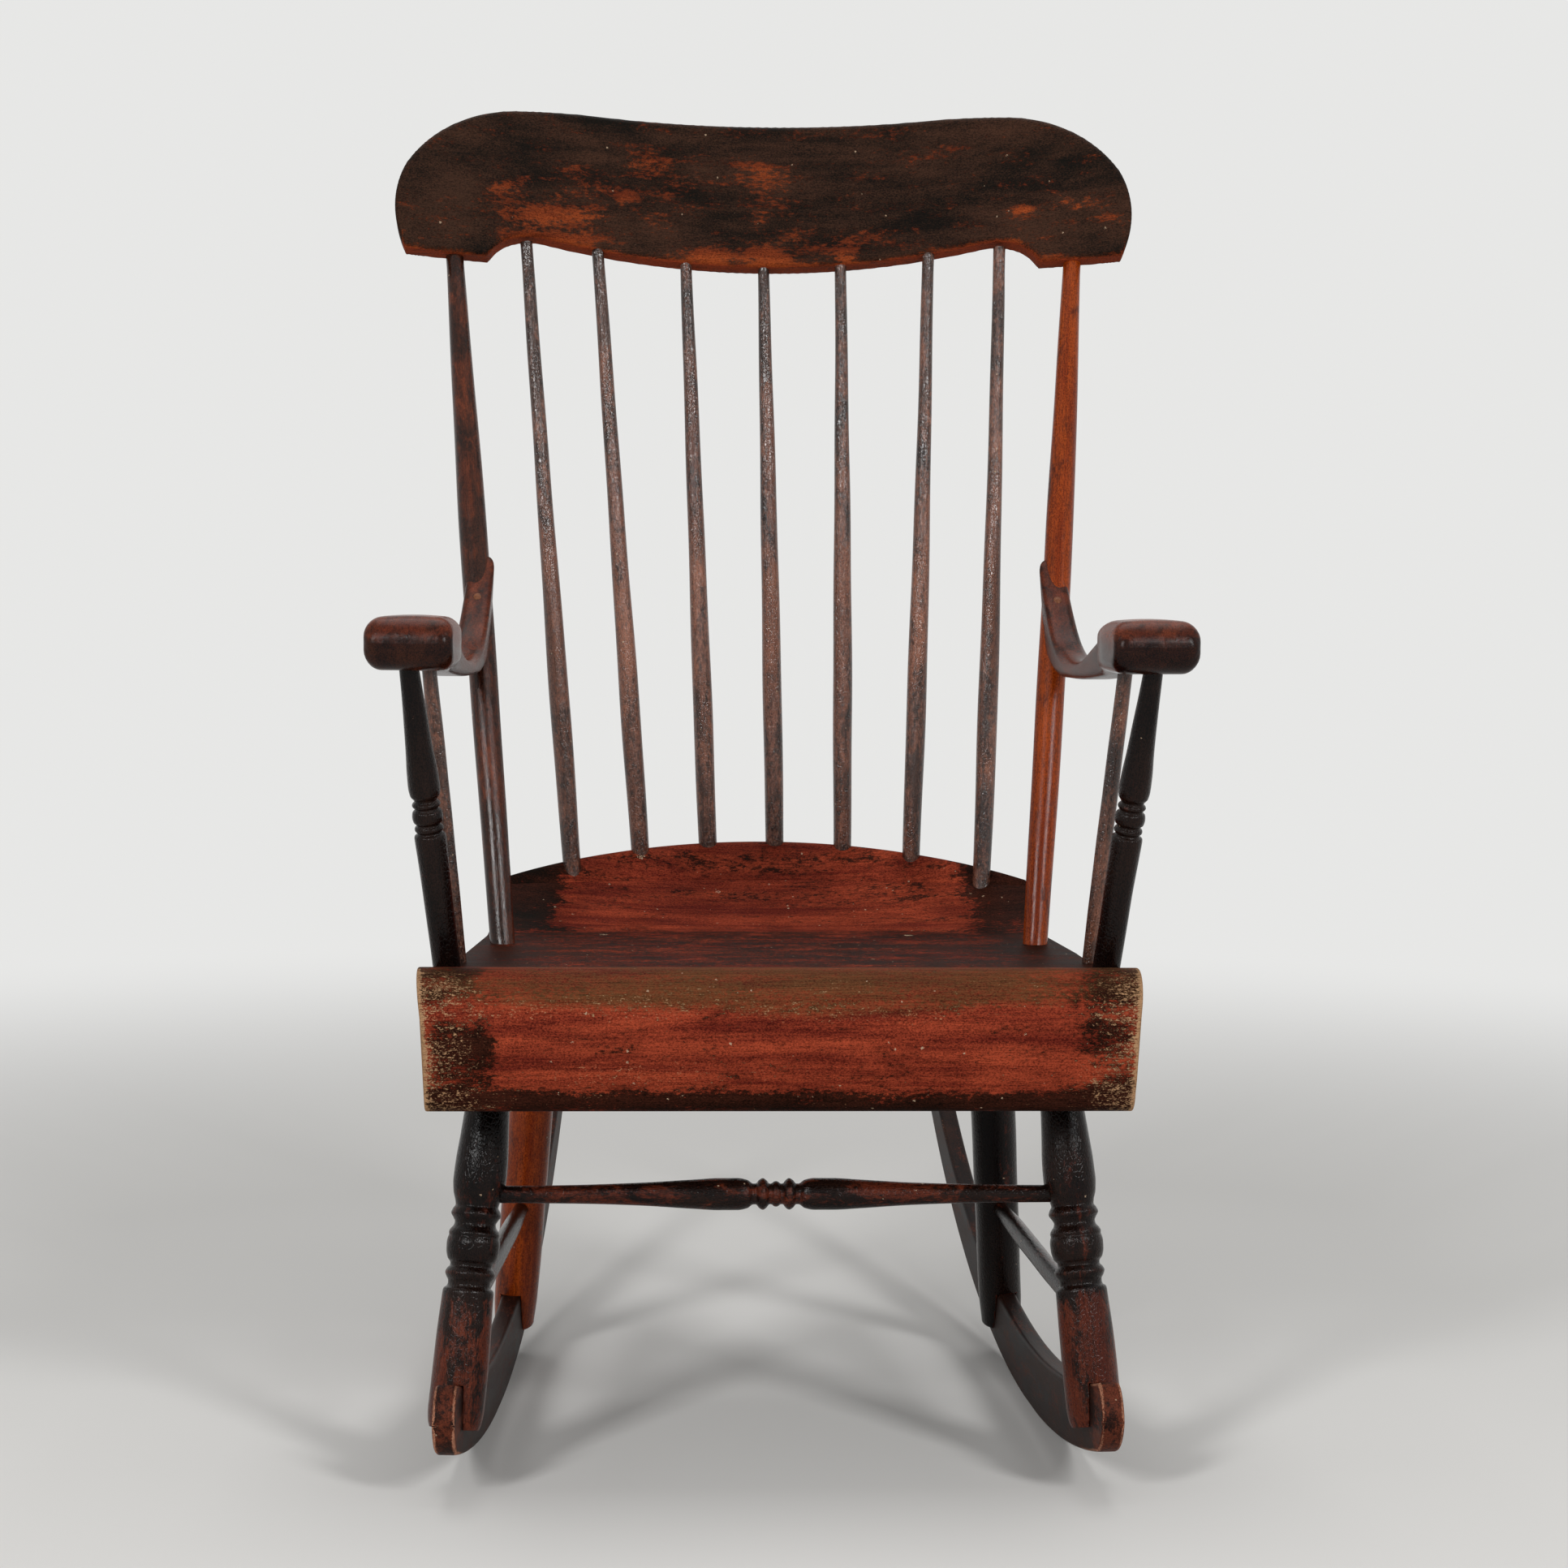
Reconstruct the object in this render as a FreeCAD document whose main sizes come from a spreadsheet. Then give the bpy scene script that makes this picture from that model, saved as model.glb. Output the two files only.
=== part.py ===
import FreeCAD, Part
import math
import os

import Sketcher

# Driving sizes, in millimetres and degrees.
# A setback is measured backwards from the front crest of the seat, a half gap sideways from the middle.
SIZES = {
    # Fits
    "fit_clearance": 0.15,
    "socket_end_gap": 1.0,
    "socket_mouth": 30.0,
    "cut_overrun": 60.0,
    # Seat
    "seat_height": 372.0,
    "seat_front_half_width": 258.0,
    "seat_waist_half_width": 232.0,
    "seat_back_half_width": 211.0,
    "seat_front_side_setback": 26.0,
    "seat_waist_setback": 150.0,
    "seat_depth": 420.0,
    "seat_rear_edge_radius": 330.0,
    "seat_dish_depth": 5.5,
    "seat_dish_setback": 70.0,
    "seat_ramp_setback": 290.0,
    "seat_ramp_radius": 605.0,
    "seat_seam_setback": 371.0,
    "seat_seam_rise": 24.0,
    "seat_back_rise": 51.0,
    "seat_plank_thickness": 42.0,
    "seat_underside_rise": 30.0,
    "seat_underside_setback": 322.0,
    "seat_side_taper": 8.0,
    # Front roll
    "roll_joint_setback": 30.0,
    "roll_depth": 97.0,
    "roll_reach": 24.0,
    "roll_foot_setback": 12.0,
    "roll_foot_half_width": 247.0,
    # Rockers
    "rocker_length": 807.0,
    "rocker_radius": 865.0,
    "rocker_thickness": 16.0,
    "rocker_front_height": 50.0,
    "rocker_middle_height": 46.0,
    "rocker_tail_height": 34.0,
    "rocker_nose_round": 16.0,
    "rocker_tail_round": 12.0,
    "rocker_rest_reach": 258.0,
    "rocker_wear_depth": 0.4,
    "rocker_nose_half_gap": 234.0,
    "rocker_nose_reach": 30.0,
    "rocker_toe_angle": 4.4,
    # Front legs
    "front_leg_diameter": 40.0,
    "front_leg_foot_setback": 26.0,
    "front_leg_foot_height": 42.0,
    "front_leg_top_half_gap": 202.0,
    "front_leg_top_setback": 91.0,
    "front_leg_tenon_depth": 26.0,
    # Rear legs
    "rear_leg_diameter": 35.5,
    "rear_leg_foot_setback": 392.0,
    "rear_leg_foot_height": 28.0,
    "rear_leg_top_half_gap": 176.0,
    "rear_leg_top_setback": 287.0,
    "rear_leg_tenon_depth": 26.0,
    # Stretchers
    "front_stretcher_height": 203.0,
    "front_stretcher_diameter": 23.0,
    "side_stretcher_front_height": 119.0,
    "side_stretcher_rear_height": 133.0,
    "side_stretcher_diameter": 15.0,
    "rear_stretcher_height": 228.0,
    "rear_stretcher_diameter": 15.0,
    # Back posts
    "post_diameter": 22.0,
    "post_foot_half_gap": 203.0,
    "post_foot_setback": 206.0,
    "post_foot_depth": 28.0,
    "post_top_half_gap": 250.0,
    "post_top_depth": 34.0,
    "post_bend": 14.0,
    # Spindles
    "spindle_diameter": 16.0,
    "spindle_foot_pitch": 55.0,
    "spindle_foot_shift": 11.5,
    "spindle_edge_margin": 15.0,
    "spindle_foot_depth": 26.0,
    "spindle_top_half_gap": 192.0,
    "spindle_top_depth": 20.0,
    "spindle_bend": 14.0,
    # Crest rail, its height above the seat's crest
    "crest_half_width": 298.0,
    "crest_height": 516.5,
    "crest_rise": 133.0,
    "crest_setback": 438.0,
    "crest_lean_angle": 20.0,
    "crest_thickness": 20.0,
    "crest_bow_radius": 1120.0,
    "crest_edge_bevel": 2.8,
    # Arms, their height above the seat's crest and the peg's above their underside
    "arm_length": 330.0,
    "arm_width": 26.0,
    "arm_end_width": 20.0,
    "arm_tip_half_gap": 259.0,
    "arm_tip_reach": 22.0,
    "arm_splay_angle": 6.3,
    "arm_underside_height": 211.0,
    "arm_rise": 64.0,
    "arm_cope_depth": 7.0,
    "hand_width": 62.0,
    "hand_depth": 82.0,
    "hand_thickness": 38.0,
    "hand_corner": 9.0,
    "arm_peg_diameter": 7.0,
    "arm_peg_depth": 6.0,
    "arm_peg_reach": 18.6,
    "arm_peg_height": 33.0,
    "arm_peg_slope_angle": 39.0,
    # Arm posts and arm spindles
    "arm_post_diameter": 23.0,
    "arm_post_foot_half_gap": 236.0,
    "arm_post_foot_setback": 56.0,
    "arm_post_top_half_gap": 259.0,
    "arm_post_top_setback": 8.0,
    "arm_spindle_diameter": 11.5,
    "arm_spindle_foot_half_gap": 230.0,
    "arm_spindle_foot_setback": 100.0,
    "arm_spindle_top_half_gap": 250.0,
    "arm_spindle_top_setback": 76.0,
    "arm_tenon_depth": 18.0,
}

# Turned outlines: share of the length, share of the full diameter.
FRONT_LEG_SHARES = [
    (0.0, 0.90),
    (0.05, 1.0),
    (0.20, 0.99),
    (0.325, 0.92),
    (0.345, 0.76),
    (0.371, 0.90),
    (0.388, 0.76),
    (0.412, 0.94),
    (0.455, 0.94),
    (0.488, 0.74),
    (0.512, 0.88),
    (0.532, 0.78),
    (0.585, 0.94),
    (0.64, 0.93),
    (0.80, 0.77),
    (1.0, 0.70),
]
REAR_LEG_SHARES = [
    (0.0, 0.92),
    (0.08, 1.0),
    (0.70, 1.0),
    (1.0, 0.82),
]
ARM_POST_SHARES = [
    (0.0, 0.86),
    (0.25, 0.88),
    (0.455, 0.98),
    (0.469, 0.76),
    (0.481, 0.88),
    (0.493, 0.74),
    (0.514, 0.94),
    (0.528, 0.94),
    (0.548, 0.74),
    (0.560, 0.87),
    (0.573, 0.70),
    (0.60, 0.97),
    (0.65, 0.97),
    (0.83, 0.74),
    (1.0, 0.60),
]
STRETCHER_SHARES = [
    (0.0, 0.80),
    (0.08, 0.80),
    (0.20, 1.0),
    (0.80, 1.0),
    (0.92, 0.80),
    (1.0, 0.80),
]
FRONT_STRETCHER_HALF_SHARES = [
    (0.0, 0.54),
    (0.13, 0.56),
    (0.27, 0.70),
    (0.40, 1.0),
    (0.445, 1.0),
    (0.464, 0.64),
    (0.475, 0.98),
    (0.481, 0.98),
    (0.489, 0.64),
    (0.5, 0.80),
]

# Bent round sticks: share of the length, share of the full diameter.
# The post is straight between its third and fourth place, where the arm laps it.
POST_SHARES = [(0.0, 0.86), (0.20, 0.95), (0.42, 1.0), (0.58, 1.0), (0.80, 0.84), (1.0, 0.64)]
SPINDLE_SHARES = [(0.0, 0.90), (0.25, 1.0), (0.52, 0.86), (0.78, 0.71), (1.0, 0.60)]

# Spindle tops, as shares of the outermost one's distance from the middle.
SPINDLE_TOP_SHARES = [0.0, 0.33, 0.70, 1.0]

# Crest outline of one half, from the top middle to the bottom middle: shares of half width and rise.
CREST_TOP_START_SHARES = (0.42, 0.990)
CREST_TOP_DIP_SHARE = 0.968
CREST_SIDE_SHARES = [
    (0.56, 1.0, 0.69, 0.985),
    (0.862, 0.836, 0.975, 0.55),
    (1.0, 0.33, 0.972, 0.0),
    (0.752, 0.0),
    (0.7245, 0.083, 0.6846, 0.135),
    (0.6426, 0.154, 0.60, 0.148),
]
CREST_BOTTOM_DIP_SHARE = 0.023

# Arm side view behind the hand's nose, over the top, round the rear end and back along the
# underside: shares of the arm's length and rise.
ARM_SIDE_SHARES = [
    (0.15, 0.585, 0.250, 0.525),
    (0.372, 0.34, 0.494, 0.125),
    (0.60, 0.0, 0.73, 0.055),
    (0.80, 0.19, 0.855, 0.40),
    (0.890, 0.58, 1.0, 1.31),
    (1.0, 0.50),
    (0.915, 0.10),
    (0.83, -0.13, 0.70, -0.20),
    (0.50, -0.17, 0.25, -0.01),
    (0.058, 0.0),
]
HAND_SIDE_SHARES = (0.16, 0.60)
HAND_WAIST_SHARES = (0.62, 0.22, 1.12, 1.42)
ARM_NARROWING_SHARE = 0.6
ARM_SPINDLE_TENON_SHARE = 0.55
HALF_TURN_SHARE = math.sqrt(0.5)

# Seat curves, as shares of the sizes that they join.
WAIST_BEND_SHARES = (0.27, 0.52)
LIP_SHARE = 0.62
DISH_BEND_SHARES = (0.45, 0.20)
RAMP_BEND_SHARES = (0.5, 0.34)
UNDERSIDE_BEND_SHARES = (0.5, 0.25)
ROLL_CREST_SHARES = (0.25, 0.62, 0.16)
ROLL_FACE_SHARES = (0.50, 0.66, 0.16)
ROLL_FOOT_SHARES = (0.15, 0.05)

# Spindles on each side of the middle one
LAST_SPINDLE = 3
SIDES = (("left", 1), ("right", -1))


class Size:
    """A value together with the sheet expression that gives it."""

    def __init__(self, text, value):
        self.text = text
        self.value = value

    def __add__(self, other):
        other = as_size(other)
        return Size(f"({self.text} + {other.text})", self.value + other.value)

    def __radd__(self, other):
        return as_size(other) + self

    def __sub__(self, other):
        other = as_size(other)
        return Size(f"({self.text} - {other.text})", self.value - other.value)

    def __rsub__(self, other):
        return as_size(other) - self

    def __mul__(self, other):
        other = as_size(other)
        return Size(f"({self.text} * {other.text})", self.value * other.value)

    def __rmul__(self, other):
        return as_size(other) * self

    def __truediv__(self, other):
        other = as_size(other)
        return Size(f"({self.text} / {other.text})", self.value / other.value)

    def __neg__(self):
        return Size(f"(-1 * {self.text})", -self.value)


def as_size(number):
    """Give a plain number the form of a size."""
    if isinstance(number, Size):
        return number
    return Size(f"({number!r})", float(number))


def root(size):
    """Square root of a size."""
    return Size(f"sqrt({size.text})", math.sqrt(size.value))


def cosine(angle):
    """Cosine of an angle in degrees."""
    return Size(f"cos({angle.text})", math.cos(math.radians(angle.value)))


def sine(angle):
    """Sine of an angle in degrees."""
    return Size(f"sin({angle.text})", math.sin(math.radians(angle.value)))


class Sheet:
    """The driving sizes, each one a cell of the sheet and an attribute here."""

    def __init__(self, document, sizes):
        sheet = document.addObject("Spreadsheet::Sheet", "Sizes")
        for row, (alias, value) in enumerate(sizes.items(), start=1):
            sheet.set(f"A{row}", alias)
            sheet.set(f"B{row}", str(value))
            sheet.setAlias(f"B{row}", alias)
            setattr(self, alias, Size(f"Sizes.{alias}", value))
        document.recompute()


document = FreeCAD.newDocument("WindsorRockingChair")
s = Sheet(document, SIZES)
zero = as_size(0)

# Y of the seat's front crest: the two rocker ends lie evenly about the middle of the floor plan.
seat_front_y = s.rocker_nose_reach - s.rocker_length * cosine(s.rocker_toe_angle) / 2
plank_underside = s.seat_height - s.seat_plank_thickness
dish_height = s.seat_height - s.seat_dish_depth
seam_height = s.seat_height + s.seat_seam_rise
crest_underside = s.seat_height + s.crest_height
arm_underside = s.seat_height + s.arm_underside_height


def place(half_gap, setback, height, side=1):
    """A point from its half gap, setback and height, on the side +1 or -1."""
    return (side * half_gap, seat_front_y + setback, as_size(height))


def between(start, end, share):
    """The point at a share of the way from start to end."""
    return tuple(a + (b - a) * share for a, b in zip(start, end))


def at_height(start, end, height):
    """The point of the line from start to end that has the given height."""
    return between(start, end, (height - start[2]) / (end[2] - start[2]))


def distance(start, end):
    """The length of the line from start to end."""
    squares = [(b - a) * (b - a) for a, b in zip(start, end)]
    return root(squares[0] + squares[1] + squares[2])


def lean(feature, start, end, shift=zero):
    """Stand a feature at start with its Z axis towards end, moved by shift along that axis."""
    length = distance(start, end)
    way = [(b - a) / length for a, b in zip(start, end)]
    base = [a + w * shift for a, w in zip(start, way)]
    turn = f"rotation(vector({(-way[1]).text}; {way[0].text}; 0); acos({way[2].text}))"
    spot = f"vector({base[0].text}; {base[1].text}; {base[2].text})"
    feature.setExpression("Placement", f"placement({spot}; {turn})")


def stand(feature, base, axis=(0, 0, 1), angle=zero):
    """Place a feature at base, turned by an angle about an axis."""
    turn = f"rotation(vector({axis[0]}; {axis[1]}; {axis[2]}); {angle.text})"
    spot = f"vector({base[0].text}; {base[1].text}; {base[2].text})"
    feature.setExpression("Placement", f"placement({spot}; {turn})")


def new_body(name):
    """A body whose label is its name."""
    body = document.addObject("PartDesign::Body", name)
    body.Label = name
    return body


def new_sketch(body, name, role, shift=(zero, zero, zero)):
    """A sketch on an origin plane of its body, moved by shift in the plane's own axes."""
    sketch = body.newObject("Sketcher::SketchObject", name)
    plane = [item for item in body.Origin.OriginFeatures if item.Role == role][0]
    sketch.AttachmentSupport = (plane, "")
    sketch.MapMode = "FlatFace"
    for axis, size in zip("xyz", shift):
        if size is not zero:
            sketch.setExpression(f"AttachmentOffset.Base.{axis}", size.text)
    return sketch


def pin_point(sketch, curve, spot, point):
    """Tie a point of a sketch curve to its two coordinates."""
    for kind, axis, size in (("DistanceX", -2, point[0]), ("DistanceY", -1, point[1])):
        if size is zero:
            sketch.addConstraint(Sketcher.Constraint("PointOnObject", curve, spot, axis))
            continue
        index = sketch.addConstraint(Sketcher.Constraint(kind, -1, 1, curve, spot, size.value))
        sketch.setExpression(f"Constraints[{index}]", size.text)


def arc_through(start, middle, end):
    """The arc through three points, and whether it runs against the clock."""
    ax, ay = start
    bx, by = middle
    cx, cy = end
    double_area = 2 * (ax * (by - cy) + bx * (cy - ay) + cx * (ay - by))
    squares = [ax * ax + ay * ay, bx * bx + by * by, cx * cx + cy * cy]
    x = (squares[0] * (by - cy) + squares[1] * (cy - ay) + squares[2] * (ay - by)) / double_area
    y = (squares[0] * (cx - bx) + squares[1] * (ax - cx) + squares[2] * (bx - ax)) / double_area
    circle = Part.Circle(FreeCAD.Vector(x, y, 0), FreeCAD.Vector(0, 0, 1), math.hypot(ax - x, ay - y))
    first = math.atan2(ay - y, ax - x)
    last = math.atan2(cy - y, cx - x)
    forward = double_area > 0
    if not forward:
        first, last = last, first
    return Part.ArcOfCircle(circle, first, last), forward


def draw_loop(sketch, rows):
    """Draw a closed loop: a row of two is a line to a point, one of four a curve through a point."""
    rows = [tuple(size if size is zero else as_size(size) for size in row) for row in rows]
    corners = [row[-2:] for row in rows]
    curves = []
    for number, row in enumerate(rows):
        start, end = corners[number - 1], corners[number]
        start_xy = (start[0].value, start[1].value)
        end_xy = (end[0].value, end[1].value)
        if len(row) == 2:
            line = Part.LineSegment(FreeCAD.Vector(*start_xy, 0), FreeCAD.Vector(*end_xy, 0))
            curves.append((sketch.addGeometry(line), 1, 2))
            continue
        arc, forward = arc_through(start_xy, (row[0].value, row[1].value), end_xy)
        index = sketch.addGeometry(arc)
        curves.append((index, 1, 2) if forward else (index, 2, 1))
    for number, (curve, first, last) in enumerate(curves):
        before, _, before_last = curves[number - 1]
        sketch.addConstraint(Sketcher.Constraint("Coincident", before, before_last, curve, first))
        pin_point(sketch, curve, first, corners[number - 1])
    for row, (curve, first, last) in zip(rows, curves):
        if len(row) == 4:
            dot = sketch.addGeometry(Part.Point(FreeCAD.Vector(row[0].value, row[1].value, 0)), True)
            pin_point(sketch, dot, 1, row[:2])
            sketch.addConstraint(Sketcher.Constraint("PointOnObject", dot, 1, curve))


def pad(body, sketch, length, both_ways=False, backwards=False, taper=None):
    """Extrude a sketch into the body."""
    feature = body.newObject("PartDesign::Pad", f"{sketch.Name}_pad")
    feature.Profile = sketch
    feature.setExpression("Length", length.text)
    if both_ways:
        feature.SideType = "Symmetric"
    feature.Reversed = backwards
    if taper is not None:
        feature.setExpression("TaperAngle", taper.text)
    return feature


def pocket(body, sketch, length, both_ways=True):
    """Cut a sketch out of the body, by default on both sides of its plane."""
    feature = body.newObject("PartDesign::Pocket", f"{sketch.Name}_pocket")
    feature.Profile = sketch
    feature.setExpression("Length", length.text)
    if both_ways:
        feature.SideType = "Symmetric"
    return feature


def revolve(body, sketch, kind="Revolution"):
    """Turn a sketch about its own vertical axis, as a Revolution or as a Groove."""
    feature = body.newObject(f"PartDesign::{kind}", f"{sketch.Name}_{kind.lower()}")
    feature.Profile = sketch
    feature.ReferenceAxis = (sketch, ["V_Axis"])
    return feature


def cylinder(name, diameter, start, end, first, last):
    """A rod on the line from start to end, between the distances first and last from start."""
    rod = document.addObject("Part::Cylinder", name)
    rod.setExpression("Radius", (diameter / 2).text)
    rod.setExpression("Height", (last - first).text)
    lean(rod, start, end, first)
    return rod


def cut(name, base, tools):
    """The base less its tools, under the name of the finished piece."""
    piece = document.addObject("Part::Cut", name)
    piece.Base = base
    piece.Tool = tools[0]
    if len(tools) > 1:
        fused = document.addObject("Part::MultiFuse", f"{name}_tools")
        fused.Shapes = tools
        piece.Tool = fused
    piece.Label = name
    return piece


def turning(name, start, end, diameter, shares, start_depth=zero, end_depth=zero):
    """A turned stick from start to end, with a plain end of each given depth beyond them."""
    body = new_body(name)
    sketch = new_sketch(body, f"{name}_outline", "XZ_Plane")
    length = distance(start, end)
    rows = [(diameter * width / 2, length * share) for share, width in shares]
    rows[0] = (rows[0][0], zero)
    low, high = zero, length
    if start_depth is not zero:
        low = -start_depth
        rows.insert(0, (rows[0][0], low))
    if end_depth is not zero:
        high = length + end_depth
        rows.append((rows[-1][0], high))
    draw_loop(sketch, rows + [(zero, high), (zero, low)])
    revolve(body, sketch)
    lean(body, start, end)
    return body


def bow_offset(bend, share):
    """How far a bent stick stands off the straight line at a share of its length."""
    return 4 * bend * share * (1 - share)


def bent_stick(name, start, end, diameter, bend, shares, depths, clearance=zero):
    """A round stick bent forwards between start and end, with straight tenons of the given depths."""
    body = new_body(name)
    length = distance(start, end)
    stations = [(share, length * share, width) for share, width in shares]
    stations.insert(0, (0, -depths[0], shares[0][1]))
    stations.append((1, length + depths[1], shares[-1][1]))
    sections = []
    for number, (share, along, width) in enumerate(stations):
        offset = -bow_offset(bend, share) if 0 < share < 1 else zero
        sketch = new_sketch(body, f"{name}_section_{number}", "XY_Plane", (zero, offset, along))
        radius = diameter * width / 2 + clearance
        circle = Part.Circle(FreeCAD.Vector(0, 0, 0), FreeCAD.Vector(0, 0, 1), radius.value)
        index = sketch.addGeometry(circle)
        sketch.addConstraint(Sketcher.Constraint("Coincident", index, 3, -1, 1))
        bound = sketch.addConstraint(Sketcher.Constraint("Radius", index, radius.value))
        sketch.setExpression(f"Constraints[{bound}]", radius.text)
        sections.append(sketch)
    feature = body.newObject("PartDesign::AdditiveLoft", f"{name}_loft")
    feature.Profile = sections[0]
    feature.Sections = sections[1:]
    feature.Ruled = True
    lean(body, start, end)
    return body


# Lines that the pieces follow

def rocker_x(setback):
    """Half gap of a rocker's middle plane at a setback."""
    slope = sine(s.rocker_toe_angle) / cosine(s.rocker_toe_angle)
    return s.rocker_nose_half_gap - slope * (setback + s.rocker_nose_reach)


def front_leg_line(side):
    """Foot and top of a front leg's axis."""
    foot = place(rocker_x(s.front_leg_foot_setback), s.front_leg_foot_setback, s.front_leg_foot_height, side)
    return foot, place(s.front_leg_top_half_gap, s.front_leg_top_setback, plank_underside, side)


def rear_leg_line(side):
    """Foot and top of a rear leg's axis."""
    foot = place(rocker_x(s.rear_leg_foot_setback), s.rear_leg_foot_setback, s.rear_leg_foot_height, side)
    return foot, place(s.rear_leg_top_half_gap, s.rear_leg_top_setback, plank_underside, side)


def front_stretcher_line():
    """Ends of the front stretcher, on the axes of the front legs."""
    return [at_height(*front_leg_line(side), s.front_stretcher_height) for side in (-1, 1)]


def rear_stretcher_line():
    """Ends of the rear stretcher, on the axes of the rear legs."""
    return [at_height(*rear_leg_line(side), s.rear_stretcher_height) for side in (-1, 1)]


def side_stretcher_line(side):
    """Ends of a side stretcher, on the axes of the front and the rear leg."""
    front = at_height(*front_leg_line(side), s.side_stretcher_front_height)
    return front, at_height(*rear_leg_line(side), s.side_stretcher_rear_height)


def crest_y(half_gap):
    """Setback of the crest's middle surface at its lower edge."""
    bow = s.crest_bow_radius - root(s.crest_bow_radius * s.crest_bow_radius - half_gap * half_gap)
    return s.crest_setback - bow


def post_line(side):
    """Foot and top of a back post's axis."""
    foot = place(s.post_foot_half_gap, s.post_foot_setback, dish_height, side)
    return foot, place(s.post_top_half_gap, crest_y(s.post_top_half_gap), crest_underside, side)


def seat_back_height(radius):
    """Height of the seat's rear slope at a distance from the centre of its curve."""
    seam_radius = s.seat_ramp_radius + s.seat_seam_setback - s.seat_ramp_setback
    slope = (s.seat_back_rise - s.seat_seam_rise) / (s.seat_depth - s.seat_seam_setback)
    return seam_height + slope * (radius - seam_radius)


def spindle_line(number):
    """Foot and top of a spindle, numbered from the middle one, negative to the right."""
    foot_gap = s.spindle_foot_pitch * number + s.spindle_foot_shift
    fan = s.seat_rear_edge_radius - s.spindle_edge_margin
    setback = s.seat_depth - s.seat_rear_edge_radius + root(fan * fan - foot_gap * foot_gap)
    across = setback + s.seat_ramp_radius - s.seat_ramp_setback
    radius = root(across * across + foot_gap * foot_gap)
    side = 1 if number >= 0 else -1
    top_gap = s.spindle_top_half_gap * SPINDLE_TOP_SHARES[abs(number)]
    top_height = crest_underside + s.crest_rise * CREST_BOTTOM_DIP_SHARE
    return (place(foot_gap, setback, seat_back_height(radius)),
            place(top_gap, crest_y(top_gap), top_height, side))


def arm_line(side):
    """Tip and rear end of an arm's middle, at the height of its underside."""
    tip = place(s.arm_tip_half_gap, -s.arm_tip_reach, arm_underside, side)
    end_gap = s.arm_tip_half_gap - s.arm_length * sine(s.arm_splay_angle)
    end_setback = s.arm_length * cosine(s.arm_splay_angle) - s.arm_tip_reach
    return tip, place(end_gap, end_setback, arm_underside, side)


def arm_post_line(side):
    """Foot and top of a front arm post."""
    foot = place(s.arm_post_foot_half_gap, s.arm_post_foot_setback, dish_height, side)
    return foot, place(s.arm_post_top_half_gap, s.arm_post_top_setback, arm_underside, side)


def arm_spindle_line(side):
    """Foot and top of the plain spindle behind an arm post."""
    foot = place(s.arm_spindle_foot_half_gap, s.arm_spindle_foot_setback, dish_height, side)
    return foot, place(s.arm_spindle_top_half_gap, s.arm_spindle_top_setback, arm_underside, side)


# Rockers

def rocker_bottom(reach):
    """Height of the rocker's running edge at a distance behind its nose."""
    away = reach - s.rocker_rest_reach
    return s.rocker_radius - s.rocker_wear_depth - root(s.rocker_radius * s.rocker_radius - away * away)


def rocker(name, side, thickness, extra_depth=zero):
    """A rocker: a running arc with a worn flat, a rounded nose and a rounded tail."""
    body = new_body(name)
    sketch = new_sketch(body, f"{name}_outline", "YZ_Plane")
    arc_height = s.rocker_radius - s.rocker_wear_depth
    flat = root(s.rocker_radius * s.rocker_radius - arc_height * arc_height)
    flat_front = s.rocker_rest_reach - flat
    flat_rear = s.rocker_rest_reach + flat
    tail_start = s.rocker_length - s.rocker_tail_round
    front_middle = (s.rocker_nose_round + flat_front) / 2
    rear_middle = (flat_rear + tail_start) / 2
    nose_low = rocker_bottom(s.rocker_nose_round)
    nose_high = nose_low + s.rocker_front_height
    tail_low = rocker_bottom(tail_start)
    tail_high = tail_low + s.rocker_tail_height
    draw_loop(sketch, [
        (front_middle, rocker_bottom(front_middle) - extra_depth, flat_front, -extra_depth),
        (flat_rear, -extra_depth),
        (rear_middle, rocker_bottom(rear_middle) - extra_depth, tail_start, tail_low - extra_depth),
        (s.rocker_length, (tail_low + tail_high) / 2, tail_start, tail_high),
        (s.rocker_rest_reach, s.rocker_middle_height, s.rocker_nose_round, nose_high),
        (zero, (nose_low + nose_high) / 2, s.rocker_nose_round, nose_low - extra_depth),
    ])
    pad(body, sketch, thickness, both_ways=True)
    nose = place(s.rocker_nose_half_gap, -s.rocker_nose_reach, zero, side)
    stand(body, nose, angle=side * s.rocker_toe_angle)
    return body


# Legs

def leg_tools(name, side, sockets):
    """The slot for the rocker and the stretcher sockets of a leg."""
    tools = [rocker(f"{name}_slot", side, s.rocker_thickness + 2 * s.fit_clearance, s.cut_overrun)]
    for number, (start, end, diameter) in enumerate(sockets):
        tools.append(cylinder(f"{name}_socket_{number}", diameter + 2 * s.fit_clearance, start, end,
                              -s.socket_end_gap, s.cut_overrun))
    return tools


def front_leg(name, side):
    """A turned front leg, slotted over its rocker."""
    line = front_leg_line(side)
    blank = turning(f"{name}_turning", *line, s.front_leg_diameter, FRONT_LEG_SHARES,
                    end_depth=s.front_leg_tenon_depth)
    front = front_stretcher_line()
    if side > 0:
        front = front[::-1]
    front_end = s.front_stretcher_diameter * FRONT_STRETCHER_HALF_SHARES[0][1]
    side_end = s.side_stretcher_diameter * STRETCHER_SHARES[0][1]
    sockets = [(*front, front_end), (*side_stretcher_line(side), side_end)]
    return cut(name, blank, leg_tools(name, side, sockets))


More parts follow.
